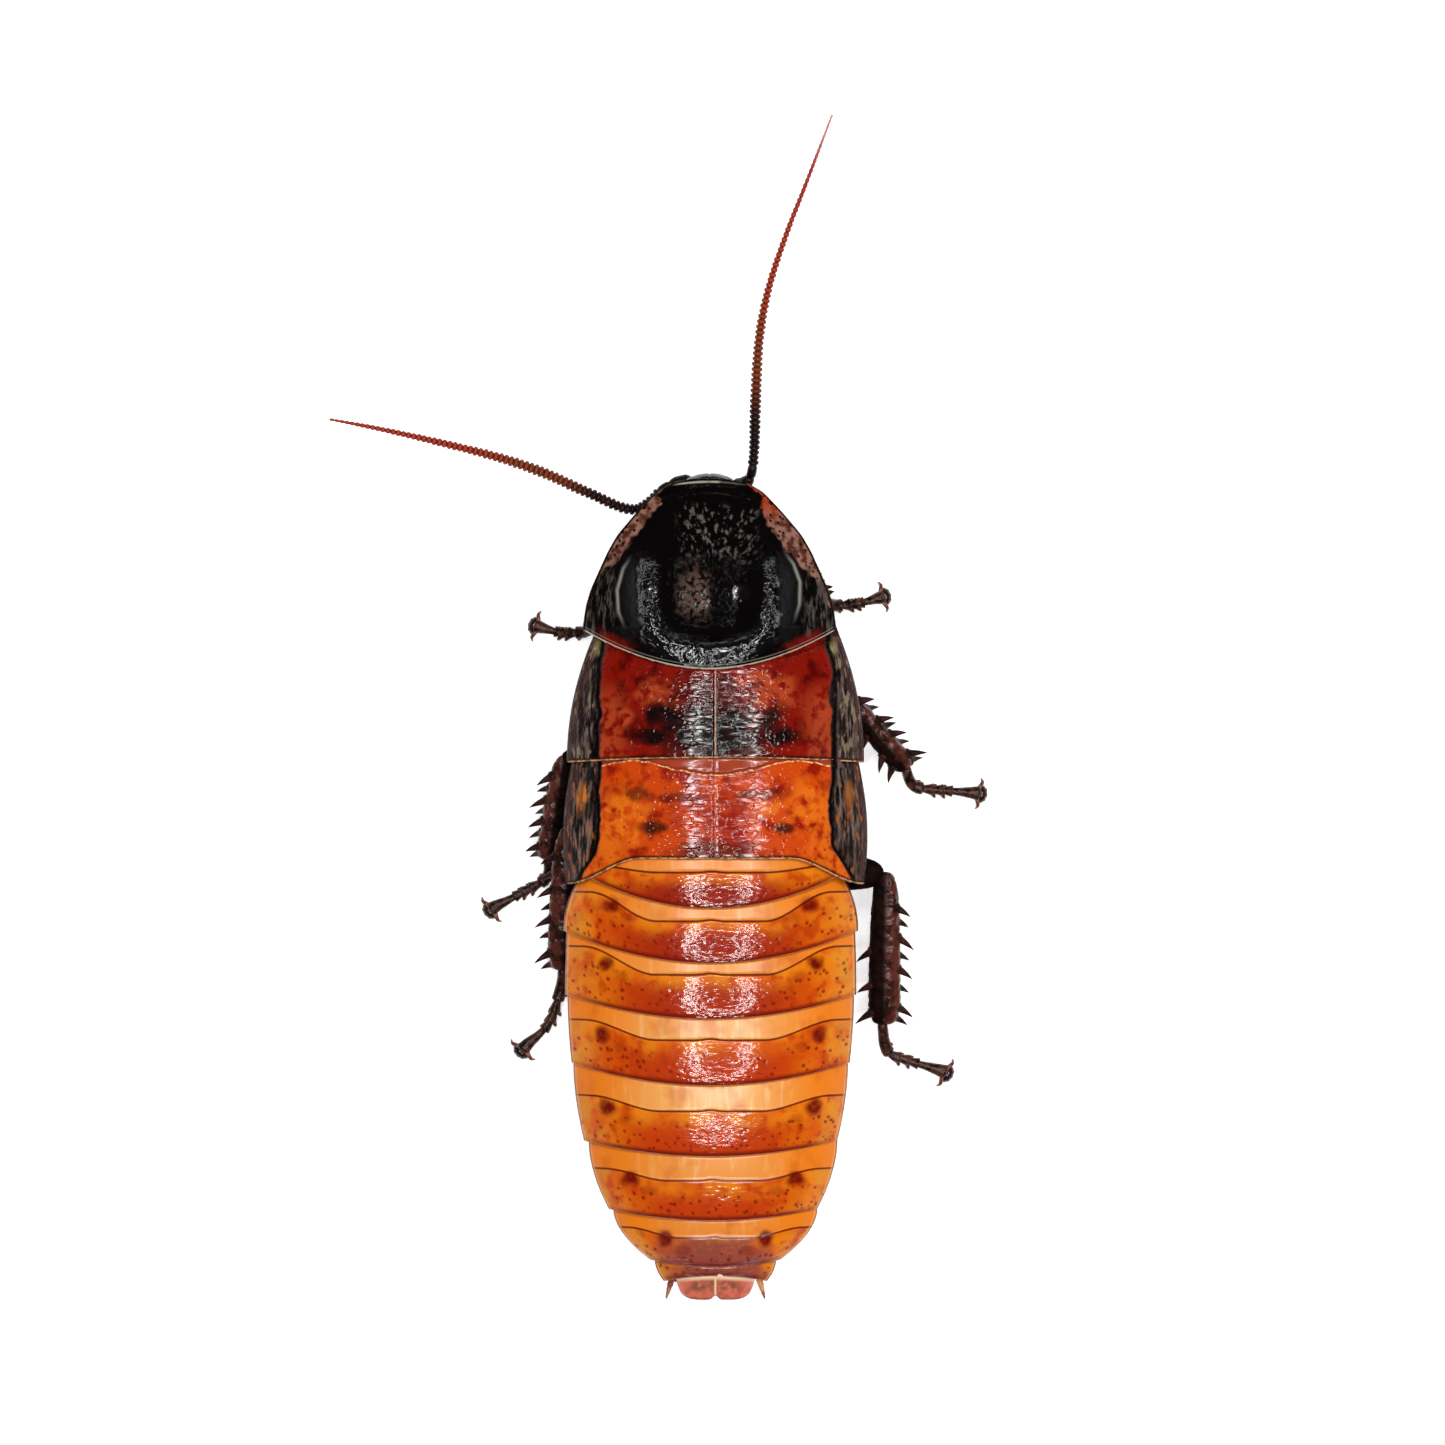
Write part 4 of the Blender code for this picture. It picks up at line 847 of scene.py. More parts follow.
def add_spines(skin, start, end, profile, size, rows, draw):
    """Rows of thorns round a limb, which lean towards its end, with their roots inside it."""
    start, end = np.array(start), np.array(end)
    along = unit(end - start)
    away = outward(along, start)
    over = np.cross(away, along)
    over = over if over[2] > 0 else -over
    for facing, places, length in rows:
        for place in places:
            angle = math.radians(facing + draw.uniform(-9, 9))
            scale = profile_at(profile, place)
            out = away * math.cos(angle) + over * math.sin(angle)
            surface = (away * size[0] * math.cos(angle) + over * size[1] * math.sin(angle)) * scale
            middle = start + (end - start) * (place + draw.uniform(-0.02, 0.02))
            lean = along * SPINE_LEAN * draw.uniform(0.75, 1.15)
            root = middle + surface * 0.72
            tip = middle + surface + (out + lean) * length * draw.uniform(0.78, 1.0) * 0.8
            spine(skin, root, tip, SPINE_RADIUS * (0.75 + 0.2 * length), (out - along * 0.5) * 0.05 * length)


def foot_directions(leg):
    """The middle of a foot's pad, and the directions ahead of it and to its side."""
    pad = np.array([*leg.pad, 0.0])
    along = pad - np.array(leg.tarsus[-1])
    along[2] = 0
    along = unit(along)
    return pad, along, np.cross(UP, along)


def add_tarsus(skin, lobes, leg):
    """The five joints of a foot. The first three have a pair of soft lobes each."""
    pad = foot_directions(leg)[0]
    points = [leg.ankle, *leg.tarsus, pad + UP * PAD_HEIGHT * 0.6]
    route, _ = curve(points, np.ones(len(points)), 201)
    for number, (start, end, thin, thick) in enumerate(TARSUS_JOINTS):
        share = np.linspace(start, end, 22)
        line = route_at(share, np.linspace(0, 1, 201), route)
        part = (share - start) / (end - start)
        cap = np.sqrt(np.clip(1 - ((part - 0.88) / 0.121) ** 2, 0.001, 1))
        flare = np.where(part < 0.88, thin + (thick - thin) * part ** 1.3, thick * cap)
        flare = flare * np.sqrt(np.clip(part / 0.06, 0.01, 1))
        skin.tube(rings(line, flare, flare * 0.95, 24, 2.2, 0.02, 5))
        if number < LOBED_JOINTS:
            root, ahead = line[-9], unit(line[-1] - line[-5])
            back = unit(np.cross(UP, ahead))
            back = back if back[1] > 0 else -back
            for side, on, out, down in LOBE_REACH:
                tip = root + ahead * on + back * side * out - UP * down
                tip[2] = max(tip[2], LOBE_FLOOR + 0.05)
                level = unit(np.cross(UP, tip - root))
                turn = [unit(tip - root), level, unit(np.cross(tip - root, level))]
                half = (np.linalg.norm(tip - root) * 0.62, 0.2, 0.17)
                ball(lobes, (root + tip) / 2, half, turn, steps=14, lumps=0.05)


def add_claws(claws, arolium, leg):
    """Two hooked claws, and the half round pad beyond them that stands on the floor."""
    pad, along, over = foot_directions(leg)
    for side in (-1, 1):
        points = [pad + over * side * CLAW_SPREAD * out + along * ahead + UP * up
                  for out, ahead, up in CLAW_ROUTE]
        route, sizes = curve(points, CLAW_RADII, 26)
        claws.tube(rings(route, sizes, sizes, 14), along=np.linspace(0, 1, 26)[:, None])
    height, scale = np.array(PAD_PROFILE).T[..., None, None]
    angle = circle(32)[:, None]
    flat = along * PAD_HALF[0] * np.cos(angle) + over * PAD_HALF[1] * np.sin(angle)
    rim = 1 + 0.05 * np.cos(angle * 9)
    arolium.tube(pad + UP * (PAD_HEIGHT * height) + flat * scale * rim)


def make_leg(name, leg, number):
    """The pieces of one leg: coxa, femur, tibia and foot. number seeds its unevenness."""
    sizes = LEG_SIZES[name.split("_")[0]]
    draw = np.random.default_rng(70 + number)
    made, out = limb(leg.coxa, leg.trochanter, COXA_PROFILE, sizes[0], seed=60 + number)
    made[..., 2] = np.minimum(made[..., 2], COXA_TOP)
    skin = Skin()
    skin.tube(made, out=out)
    ball(skin, leg.trochanter, (0.62, 0.55, 0.5), steps=16, lumps=0.05)
    skin.make(name + "_coxa_shell", "coxa", "legs", [name + "_coxa"])

    skin = Skin()
    made, out = limb(leg.trochanter, leg.knee, FEMUR_PROFILE, sizes[1], seed=62 + number)
    skin.tube(made, out=out - FEMUR_DARKER)
    add_spines(skin, leg.trochanter, leg.knee, FEMUR_PROFILE, sizes[1], SPINE_ROWS["femur"], draw)
    skin.make(name + "_femur_shell", "leg", "legs", [name + "_femur"])

    skin = Skin()
    shift = np.array([math.copysign(TIBIA_SHIFT.get(name, 0.0), leg.knee[0]), 0, 0])
    start, end = np.array(leg.knee) + shift, np.array(leg.ankle) + shift * 0.5
    made, out = limb(start, end, TIBIA_PROFILE, sizes[2], 48, 0.1, 2.6, 0.06, 64 + number)
    skin.tube(made, out=out)
    rows = SPINE_ROWS["front_tibia" if name.startswith("front") else "tibia"]
    add_spines(skin, start, end, TIBIA_PROFILE, sizes[2], rows, draw)
    skin.make(name + "_tibia_shell", "leg", "legs", [name + "_tibia"])

    skin, lobes, claws, arolium = Skin(), Skin(), Skin(), Skin()
    add_tarsus(skin, lobes, leg)
    add_claws(claws, arolium, leg)
    skin.make(name + "_tarsus_joints", "tarsus", "legs", [name + "_tarsus"])
    lobes.make(name + "_tarsus_lobes", "lobe", "legs")
    claws.make(name + "_claws", "claw", "legs")
    arolium.make(name + "_arolium", "arolium", "legs")


def make_antennae():
    for word, (points, radii) in ANTENNAE.items():
        route, sizes = curve(points, radii, 1200)
        length = np.linalg.norm(np.diff(route, axis=0), axis=1).sum()
        shares, scales = zip(*SCAPE)
        fine = np.linspace(0, SCAPE_END, 40)
        rows = [(place, scale, 0.5) for place, scale in
                zip(fine, np.interp(fine, np.array(shares) * SCAPE_END, scales))]
        beads = round((1 - SCAPE_END) * length / BEAD_PITCH)
        draw = np.random.default_rng(80)
        for bead in range(beads):
            swell = draw.uniform(0.95, 1.05)
            rows += [(SCAPE_END + (1 - SCAPE_END) * (bead + place) / beads, scale * swell, place)
                     for place, scale in BEAD]
        places, scales, phases = np.array(rows + [(1.0, 0.1, 0.5)]).T
        exact, knots = places * (len(route) - 1), np.arange(len(route))
        radius = np.interp(exact, knots, sizes) * scales
        longer = DARK_LONGER if word == "left" else 0.0
        skin = Skin()
        # The right feeler's tip gets a painted highlight, a pale wash
        skin.tube(rings(route_at(exact, knots, route), radius, radius, 16), bead=phases[:, None],
                  along=places[:, None] - longer, pale=float(word == "right"))
        parts = [f"antenna_{word}_{part}" for part in ("base", "inner", "outer")]
        skin.make(f"antenna_{word}_beads", "antenna", "antennae", parts)


def add_jointed(skin, points, radii, joints, **fields):
    """A palp or a cercus of several joints, each a little wider at its end."""
    route, sizes = curve(points, radii, 100)
    share = np.linspace(0, 1, 100)
    part = (share * joints) % 1
    scale = 0.78 + 0.27 * np.sqrt(part) * np.where(part > 0.9, 0.85, 1.0)
    ends = np.sqrt(np.clip(np.minimum(share, 1 - share) / 0.06, 0.002, 1))
    radius = sizes * scale * ends
    skin.tube(rings(route, radius, radius, 20), **fields)


def make_head():
    heights, *tables = zip(*HEAD_RINGS)
    z = np.linspace(heights[0] - 0.1, heights[-1], 90)
    cap = np.sqrt(np.clip(np.minimum(z - z[0], z[-1] - z) / 0.4, 0.002, 1))
    wide, deep, middle = [smoothed(np.interp(z, heights, values), 4) for values in tables]
    angle = circle(120)
    x = HEAD_X + (wide * cap)[:, None] * np.cos(angle)
    y = middle[:, None] + (deep * cap)[:, None] * np.sin(angle)
    face = ease(-np.sin(angle) * 1.5)
    tall = z[:, None]
    aside = x - HEAD_X
    relief = 0.12 * peak(tall - 3.1, 0.12) - 0.1 * ease((3.0 - tall) / 0.4)
    relief = relief + 0.25 * np.exp(-((np.abs(aside) - 1.75) ** 2 + (tall - 4.6) ** 2) / 0.12)
    relief = relief + 0.06 * peak(aside, 0.1) * ease((tall - 5.0) / 0.6) - 0.12
    y = y + relief * face + 0.02 * hills(aside, tall, 0.25, 91)
    ocellus = blot(np.abs(aside), tall, *OCELLUS, 92) * face
    skin = Skin()
    skin.tube(joined(x, y, tall), ocellus=ocellus, low=ease((3.2 - tall) / 1.0))
    ball(skin, (HEAD_X, *LABRUM_AT), LABRUM_HALF, steps=24, lumps=0.03, low=1.0)
    for side in (-1, 1):
        mandible, socket = mirrored((MANDIBLE_AT, SOCKET_AT), side, HEAD_X)
        ball(skin, mandible, MANDIBLE_HALF, lumps=0.04, low=0.3)
        add_jointed(skin, mirrored(LIP_PALP[0], side), LIP_PALP[1], 3, low=0.8)
        ball(skin, socket, SOCKET_HALF, steps=16, low=0.2)
    skin.make("head_capsule", "head", "head", ["head"])
    for word, side in SIDES:
        skin = Skin()
        turn = [unit(np.array([1.0, -0.25 * side, 0.0])), UP, (0.0, 1.0, 0.0)]
        wide, deep, high = EYE_HALF
        ball(skin, mirrored([EYE_AT], side, HEAD_X)[0], (wide, high, deep), turn, steps=40)
        skin.make(f"eye_{word}_lens", "eye", "eyes", [f"eye_{word}"])
        skin = Skin()
        add_jointed(skin, mirrored(PALP[0], side), PALP[1], 4)
        skin.make(f"palp_{word}_joints", "palp", "head", [f"palp_{word}"])


def make_cerci():
    for word, side in SIDES:
        skin = Skin()
        add_jointed(skin, mirrored(CERCUS[0], side, PLATES[-1].shift), CERCUS[1], 7)
        skin.make(f"cercus_{word}_joints", "cercus", "tail", [f"cercus_{word}"])


def tone(red, green, blue):
    """A colour as seen in the photograph, in parts of 255, as the albedo that shows it under the lights."""
    parts = [(part / 255 + 0.055) / 1.055 for part in (red, green, blue)]
    return (*[min(max(part, 0.04) ** 2.4 / LIGHT_LEVEL, 0.95) for part in parts], 1.0)


class Paint:
    """A material, with short calls that add nodes to it. A value may be a number, a socket or the name of one
    of the mesh's fields. A colour may also be three parts of 255, which tone() turns into an albedo."""

    def __init__(self, name, roughness=0.3, **constants):
        self.material = materials[name] = bpy.data.materials.new(name)
        self.material.use_nodes = True
        self.tree = self.material.node_tree
        self.shader = self.tree.nodes["Principled BSDF"]
        self.place = self.tree.nodes.new("ShaderNodeTexCoord").outputs["Object"]
        self.colour = None
        for key, value in {"Roughness": roughness, **constants}.items():
            self.set(key.replace("_", " "), value)

    def set(self, name, value):
        self.join(value, self.shader.inputs[name])

    def join(self, value, socket):
        if isinstance(value, str):
            value = self.node("ShaderNodeAttribute", {"attribute_name": value}, {}, "Fac")
        if isinstance(value, bpy.types.NodeSocket):
            self.tree.links.new(value, socket)
        elif socket.type == "RGBA" and len(value) == 3:
            socket.default_value = tone(*value)
        else:
            socket.default_value = value

    def node(self, kind, settings, inputs, output=0):
        made = self.tree.nodes.new(kind)
        for key, value in settings.items():
            setattr(made, key, value)
        for key, value in inputs.items():
            self.join(value, made.inputs[key])
        return made.outputs[output]

    def sum(self, operation, *values):
        return self.node("ShaderNodeMath", {"operation": operation}, dict(enumerate(values)))

    def times(self, *values):
        product = values[0]
        for value in values[1:]:
            product = self.sum("MULTIPLY", product, value)
        return product

    def ramp(self, value, low, high, start=0.0, end=1.0):
        inputs = {"Value": value, "From Min": low, "From Max": high, "To Min": start, "To Max": end}
        return self.node("ShaderNodeMapRange", {"interpolation_type": "SMOOTHSTEP"}, inputs)

    def mix_number(self, share, first, second):
        return self.node("ShaderNodeMapRange", {}, {"Value": share, "To Min": first, "To Max": second})

    def mix(self, share, first, second):
        return self.node("ShaderNodeMix", {"data_type": "RGBA"}, {0: share, 6: first, 7: second}, 2)

    def coat(self, colour, *shares):
        """Lays a colour over what is there, as far as the product of the shares tells."""
        self.colour = self.mix(self.times(*shares), self.colour, colour)

    def stretched(self, stretch):
        return self.node("ShaderNodeVectorMath", {"operation": "MULTIPLY"}, {0: self.place, 1: stretch})

    def noise(self, size, detail=2.0, stretch=(1, 1, 1), rough=0.5):
        """Random shades from 0 to 1, with features of about size mm."""
        inputs = {"Vector": self.stretched(stretch), "Scale": 0.7 / (size * MM), "Detail": detail,
                  "Roughness": rough}
        return self.node("ShaderNodeTexNoise", {}, inputs)

    def cells(self, size):
        """Distance to the nearest of scattered points size mm apart, as a share of that size."""
        inputs = {"Vector": self.stretched((1, 1, 1)), "Scale": 1 / (size * MM)}
        return self.node("ShaderNodeTexVoronoi", {}, inputs)

    def folds(self, size, stretch=(1, 1, 1)):
        """Thin winding lines, 1 on the line and 0 beside it, about size mm apart."""
        off = self.sum("ABSOLUTE", self.sum("SUBTRACT", self.noise(size, 1.0, stretch), 0.5))
        return self.ramp(off, 0.085, 0.0)

    def bump(self, height, depth):
        """Relief of the given depth in mm, on top of any that is there."""
        inputs = {"Height": height, "Distance": depth * MM, "Strength": 1.0}
        before = self.shader.inputs["Normal"]
        if before.is_linked:
            inputs["Normal"] = before.links[0].from_socket
        self.set("Normal", self.node("ShaderNodeBump", {}, inputs))

    def finish(self, height, depth):
        """Sets the colour and the last relief."""
        self.set("Base Color", self.colour)
        self.bump(height, depth)


def paint_abdomen():
    paint = Paint("abdomen", 0.24, IOR=1.5)
    fine = paint.noise(0.35, 3.0)
    middle = paint.ramp("across", 0.85, 0.2)
    paint.colour = paint.mix(paint.ramp(paint.noise(1.6, 4.0), 0.35, 0.65), (240, 134, 20), (222, 92, 14))
    paint.coat((208, 66, 8), paint.ramp("line", 0.4, 2.2), paint.ramp("across", 1.0, 0.4))
    paint.coat(paint.mix(fine, (128, 16, 5), (172, 40, 8)), "red", middle, paint.ramp("line", 0.1, 1.6))
    paint.coat((178, 48, 6), paint.ramp(paint.noise(0.8, 4.0), 0.53, 0.66), 0.5)
    paint.coat((150, 74, 62), "dusk", paint.ramp(fine, 0.3, 0.6, 0.7, 1.0))
    yellow = paint.ramp(paint.noise(1.3, 3.0), 0.4, 0.6)
    paint.coat((226, 150, 34), paint.ramp("across", 0.7, 0.95), yellow, 0.6)
    main = paint.colour
    # Paler in the middle of the band, with pale streaks: partly its own colour, partly a painted highlight
    paint.colour = paint.mix(paint.times("pale", middle, 0.8), (243, 130, 26), (252, 188, 104))
    streaks = paint.ramp(paint.noise(0.35, 2.0, (1, 0.12, 1)), 0.5, 0.72)
    paint.coat((255, 216, 150), streaks, "pale", middle, 0.7)
    paint.coat((214, 96, 14), paint.ramp(paint.noise(1.8, 3.0), 0.5, 0.72, 0.0, 0.55))
    paint.coat(main, paint.ramp("line", -0.1, 0.0))
    paint.coat((118, 16, 5), "spot", paint.ramp(fine, 0.2, 0.6, 0.75, 1.0))
    paint.coat((122, 18, 5), "pit", 0.85)
    paint.coat((88, 10, 4), paint.ramp("line", -0.14, -0.03), paint.ramp("line", 0.13, 0.03), 0.92)
    paint.coat((112, 14, 4), paint.ramp("rear", 0.55, 0.1), paint.ramp("across", 1.02, 0.7, 0.35, 0.9))
    paint.coat((236, 150, 84), paint.ramp("rear", 0.06, 0.0, 0.0, 0.5))
    paint.coat((246, 176, 96), paint.ramp("side", 0.3, 0.16), paint.ramp("side", 0.02, 0.12), 0.5)
    paint.coat((104, 20, 8), paint.ramp("side", 0.14, 0.0, 0.0, 0.9))
    paint.set("Roughness", paint.mix_number(paint.ramp("line", -0.05, 0.25), 0.3, 0.15))
    paint.set("Specular IOR Level", paint.ramp("across", 0.72, 0.4, 0.08, 0.6))
    wrinkles = paint.noise(0.24, 1.0, (0.55, 1.2, 1))
    paint.finish(paint.times(wrinkles, paint.ramp("line", 0.0, 0.5, 0.05, 1.0)), 0.055)


def paint_wing(name, disc, warm, deep, fleck, glow):
    """The two wing plates: a red disc, and dark side bands streaked with grey, with patches of painted sheen
    on them.
    """
    paint = Paint(name, 0.16, IOR=1.5)
    spread = paint.noise(0.6, 4.0)
    paint.colour = paint.mix(paint.ramp(paint.noise(1.1, 4.0), 0.46, 0.66), disc, deep)
    paint.coat(warm, "warm", paint.ramp(spread, 0.36, 0.56))
    paint.coat(deep, "red", paint.ramp(spread, 0.65, 0.35, 0.4, 0.95))
    paint.coat(deep, paint.ramp(paint.cells(0.85), 0.2, 0.1, 0.0, 0.7))
    paint.coat((20, 5, 4), "dark", paint.ramp(spread, 0.3, 0.5, 0.75, 1.0))
    paint.coat((206, 150, 120), paint.ramp("middle", 0.09, 0.03, 0.0, 0.7))
    rough = paint.ramp(paint.noise(1.2, 2.0), 0.35, 0.6, 0.45, 1.0)
    if name == "metanotum":
        paint.coat((158, 62, 40), paint.ramp("line", 0.0, -0.1, 0.0, 0.85))
        beads = paint.ramp(paint.noise(0.2, 1.0), 0.45, 0.55, 0.15, 1.0)
        paint.coat((250, 206, 140), paint.ramp("line", -0.09, -0.03), paint.ramp("line", 0.09, 0.03), beads)
        rough = paint.times(rough, paint.ramp("line", 0.0, 0.5, 0.1, 1.0))
    disc_colour = paint.colour
    streaks = paint.noise(0.25, 3.0, (1.0, 0.16, 1.0), 0.6)
    paint.colour = paint.mix(paint.ramp(streaks, 0.44, 0.64), (12, 7, 7), (124, 102, 94))
    paint.coat((26, 12, 10), paint.ramp(paint.noise(1.6, 2.0), 0.4, 0.62, 0.0, 0.6))
    paint.coat((62, 26, 22), paint.ramp("side", 0.9, 0.15, 0.0, 0.85))
    flecks = paint.ramp(paint.noise(0.3, 4.0, (1.0, 0.3, 1)), 0.56, 0.66)
    paint.coat(fleck, flecks, 0.7)
    # Painted sheen: pale flecked patches that stand for highlights on the side bands
    paint.coat(glow, "glow", paint.ramp(flecks, 0.0, 1.0, 0.4, 1.0))
    band, paint.colour = paint.colour, disc_colour
    paint.coat(band, paint.ramp("disc", 0.1, -0.12))
    paint.coat((8, 4, 4), paint.ramp("disc", 0.15, -0.05), paint.ramp("disc", -0.65, -0.2))
    paint.coat((48, 7, 5), paint.ramp("rear", 0.34, 0.12, 0.0, 0.85))
    dotted = paint.ramp(paint.noise(0.3, 1.0), 0.42, 0.56, 0.3, 0.95)
    paint.coat((226, 176, 124), paint.ramp("rear", 0.08, 0.02), dotted)
    paint.coat((24, 10, 8), paint.ramp("side", 0.12, 0.0, 0.0, 0.9))
    paint.set("Roughness", paint.ramp("disc", 0.2, -0.4, 0.14, 0.34))
    paint.set("Specular IOR Level", paint.ramp("across", 0.7, 0.34, 0.04, 0.42))
    paint.bump(paint.times(paint.folds(0.5, (0.65, 1.2, 1)), rough), 0.035)
    grooves = paint.noise(0.25, 2.0, (1.0, 0.16, 1.0))
    paint.finish(paint.times(grooves, paint.ramp("disc", 0.1, -0.3)), 0.08)


def paint_pronotum():
    paint = Paint("pronotum", 0.16, IOR=1.5)
    fine = paint.noise(0.3, 4.0)
    paint.colour = paint.mix(paint.ramp(paint.noise(0.5, 4.0), 0.42, 0.6), (150, 108, 92), (84, 42, 34))
    paint.coat((164, 56, 20), "front", 0.85)
    paint.coat((10, 5, 5), paint.ramp(paint.cells(0.5), 0.36, 0.2))
    margin, paint.colour = paint.colour, paint.mix(fine, (3, 3, 3), (14, 9, 9))
    # The brown patch in the basin: partly its own brown, partly painted sheen
    paint.coat((98, 76, 68), "brown", paint.ramp(fine, 0.4, 0.56), 0.85)
    paint.coat(margin, "strip")
    # Painted sheen: grey satin streaks on the flanks outside the crescents
    flank_sheen = paint.noise(0.28, 4.0, (1, 0.22, 1), 0.65)
    paint.coat((92, 84, 78), "flank", paint.ramp(flank_sheen, 0.46, 0.62), 0.75)
    paint.coat((112, 20, 12), "corner", paint.ramp(fine, 0.3, 0.6, 0.5, 1.0))
    # Painted sheen: grey streaks fanning out over the front of the shield
    paint.coat((104, 99, 96), "fan", paint.ramp(fine, 0.44, 0.6), 0.8)
    # Painted highlight: a pale line along each crescent ridge, where glints would fall
    paint.coat((160, 158, 148), "rim", 0.8)
    paint.coat((180, 170, 150), paint.ramp("rear", 0.34, 0.29), paint.ramp("rear", 0.22, 0.27), 0.35)
    paint.coat((206, 196, 176), paint.ramp("rear", 0.09, 0.04, 0.0, 0.85))
    broken = paint.ramp(paint.noise(0.9, 2.0), 0.4, 0.55, 0.15, 0.75)
    paint.coat((190, 182, 168), paint.ramp("lead", 0.36, 0.28), paint.ramp("lead", 0.12, 0.2), broken,
               paint.ramp("middle", 3.3, 2.2))
    paint.coat((16, 7, 5), paint.ramp("side", 0.2, 0.08))
    paint.set("Roughness", paint.ramp("strip", 0.0, 1.0, 0.14, 0.34))
    paint.set("Specular IOR Level", paint.ramp("gloss", 0.1, 0.65, 0.015, 0.6))
    patches = paint.ramp(paint.noise(1.1, 2.0), 0.36, 0.56, 0.15, 1.0)
    paint.bump(paint.times(paint.folds(0.6), patches, paint.ramp("gloss", 0.0, 0.6)), 0.04)
    paint.finish(paint.times(paint.ramp(paint.noise(0.34, 1.0), 0.42, 0.58), "flecked"), 0.13)


def paint_tail():
    paint = Paint("tail", 0.3, IOR=1.55)
    fine = paint.noise(0.5, 3.0)
    paint.colour = paint.mix(fine, (232, 126, 98), (204, 92, 66))
    paint.coat((160, 84, 70), paint.ramp("behind", 0.4, 1.1), paint.ramp(fine, 0.4, 0.6), 0.6)
    marks = paint.times(paint.ramp("across", 0.72, 0.5), paint.ramp("cleft", 0.3, 0.0),
                        paint.ramp("behind", 0.3, 0.5), paint.ramp("behind", 1.3, 0.9))
    paint.coat((112, 84, 60), marks, paint.ramp(fine, 0.35, 0.6), 0.8)
    paint.coat((254, 220, 178), paint.ramp("behind", 0.42, 0.08))
    paint.coat((250, 220, 180), paint.ramp("cleft", 0.35, 0.8))
    paint.coat((150, 70, 56), paint.ramp("rear", 0.16, 0.02, 0.0, 0.7))
    paint.finish(fine, 0.05)


def paint_underside():
    paint = Paint("underside", 0.3, IOR=1.55)
    paint.colour = paint.mix(paint.noise(1.4, 4.0), (150, 72, 28), (104, 40, 16))
    paint.coat((58, 26, 16), "thorax", 0.8)
    paint.coat((48, 16, 8), "pit", 0.8)
    paint.coat((40, 12, 7), paint.ramp("rear", 0.9, 0.15, 0.0, 0.85))
    paint.coat((60, 20, 10), paint.ramp("side", 1.2, 0.2, 0.0, 0.7))
    paint.finish(paint.noise(0.3, 3.0), 0.05)


def paint_membrane():
    paint = Paint("membrane", 0.5)
    folds = paint.noise(0.4, 2.0, (1, 0.4, 1))
    paint.colour = paint.mix(folds, (128, 84, 54), (74, 42, 26))
    paint.coat(paint.mix(folds, (40, 22, 15), (20, 10, 8)), "front", 0.92)
    paint.finish(folds, 0.08)


def paint_leg(name, dark, light):
    """Dark glossy limb, reddish brown on the faces away from the body. Its upper faces are painted lighter
    and its lower faces dark: painted light, a lit top and a shaded underside.
    """
    paint = Paint(name, 0.22, IOR=1.5)
    # Painted light: faces turned up get the lighter brown, faces turned down stay dark
    normal = paint.node("ShaderNodeNewGeometry", {}, {}, "Normal")
    facing = paint.node("ShaderNodeSeparateXYZ", {}, {0: normal}, "Z")
    mottle = paint.ramp(paint.noise(0.7, 3.0), 0.35, 0.6, 0.25, 1.0)
    brown = paint.times(paint.ramp(facing, -0.2, 0.6), mottle, paint.ramp("out", -0.15, 0.25, 0.08, 1.0))
    paint.colour = paint.mix(brown, dark, light)
    paint.coat((10, 4, 4), paint.ramp(paint.cells(0.5), 0.3, 0.1, 0.0, 0.6))
    paint.set("Roughness", paint.ramp("out", -0.2, 0.3, 0.4, 0.2))
    paint.set("Specular IOR Level", paint.ramp("out", -0.2, 0.35, 0.015, 0.22))
    paint.finish(paint.noise(0.4, 1.0), 0.07)


def paint_plain(name, first, second, size, roughness, depth, **constants):
    """Two shades of one colour in patches, with relief of the same size."""
    paint = Paint(name, roughness, **constants)
    mottle = paint.noise(size, 3.0)
    paint.colour = paint.mix(paint.ramp(mottle, 0.35, 0.65), first, second)
    paint.finish(mottle, depth)


def paint_lobe():
    paint = Paint("lobe", 0.35, IOR=1.5)
    mottle = paint.noise(0.2, 2.0)
    paint.colour = paint.mix(mottle, (34, 14, 9), (66, 28, 16))
    paint.coat((160, 92, 42), paint.ramp("tip", 0.72, 1.0))
    paint.finish(mottle, 0.03)


def paint_claw():
    paint = Paint("claw", 0.25, IOR=1.55)
    mottle = paint.noise(0.2, 2.0)
    paint.colour = paint.mix(paint.ramp(mottle, 0.4, 0.6), (222, 164, 84), (120, 58, 24))
    paint.coat((108, 46, 26), paint.ramp("along", 0.22, 0.42))
    paint.coat((24, 12, 10), paint.ramp("along", 0.66, 0.88))
    paint.finish(mottle, 0.02)


def paint_antenna():
    paint = Paint("antenna", 0.36, IOR=1.5, Specular_IOR_Level=0.2)
    paint.colour = paint.mix(paint.ramp("along", 0.2, 0.34), (12, 7, 6), (132, 58, 24))
    paint.coat((172, 54, 24), paint.ramp("along", 0.36, 0.6))
    paint.coat((184, 52, 34), paint.ramp("along", 0.6, 0.8))
    # Painted highlight: the right feeler's tip turns pale, as if washed out by bright light
    paint.coat((226, 158, 146), paint.ramp("along", 0.84, 0.98), "pale")
    paint.coat((104, 26, 12), paint.ramp(paint.noise(0.5, 3.0), 0.5, 0.75, 0.0, 0.4))
    joint = paint.sum("MAXIMUM", paint.ramp("bead", 0.26, 0.06), paint.ramp("bead", 0.74, 0.9))
    paint.coat((40, 8, 5), joint, paint.ramp("along", 0.8, 1.0, 0.9, 0.4))
    paint.finish(paint.noise(0.12, 2.0), 0.02)


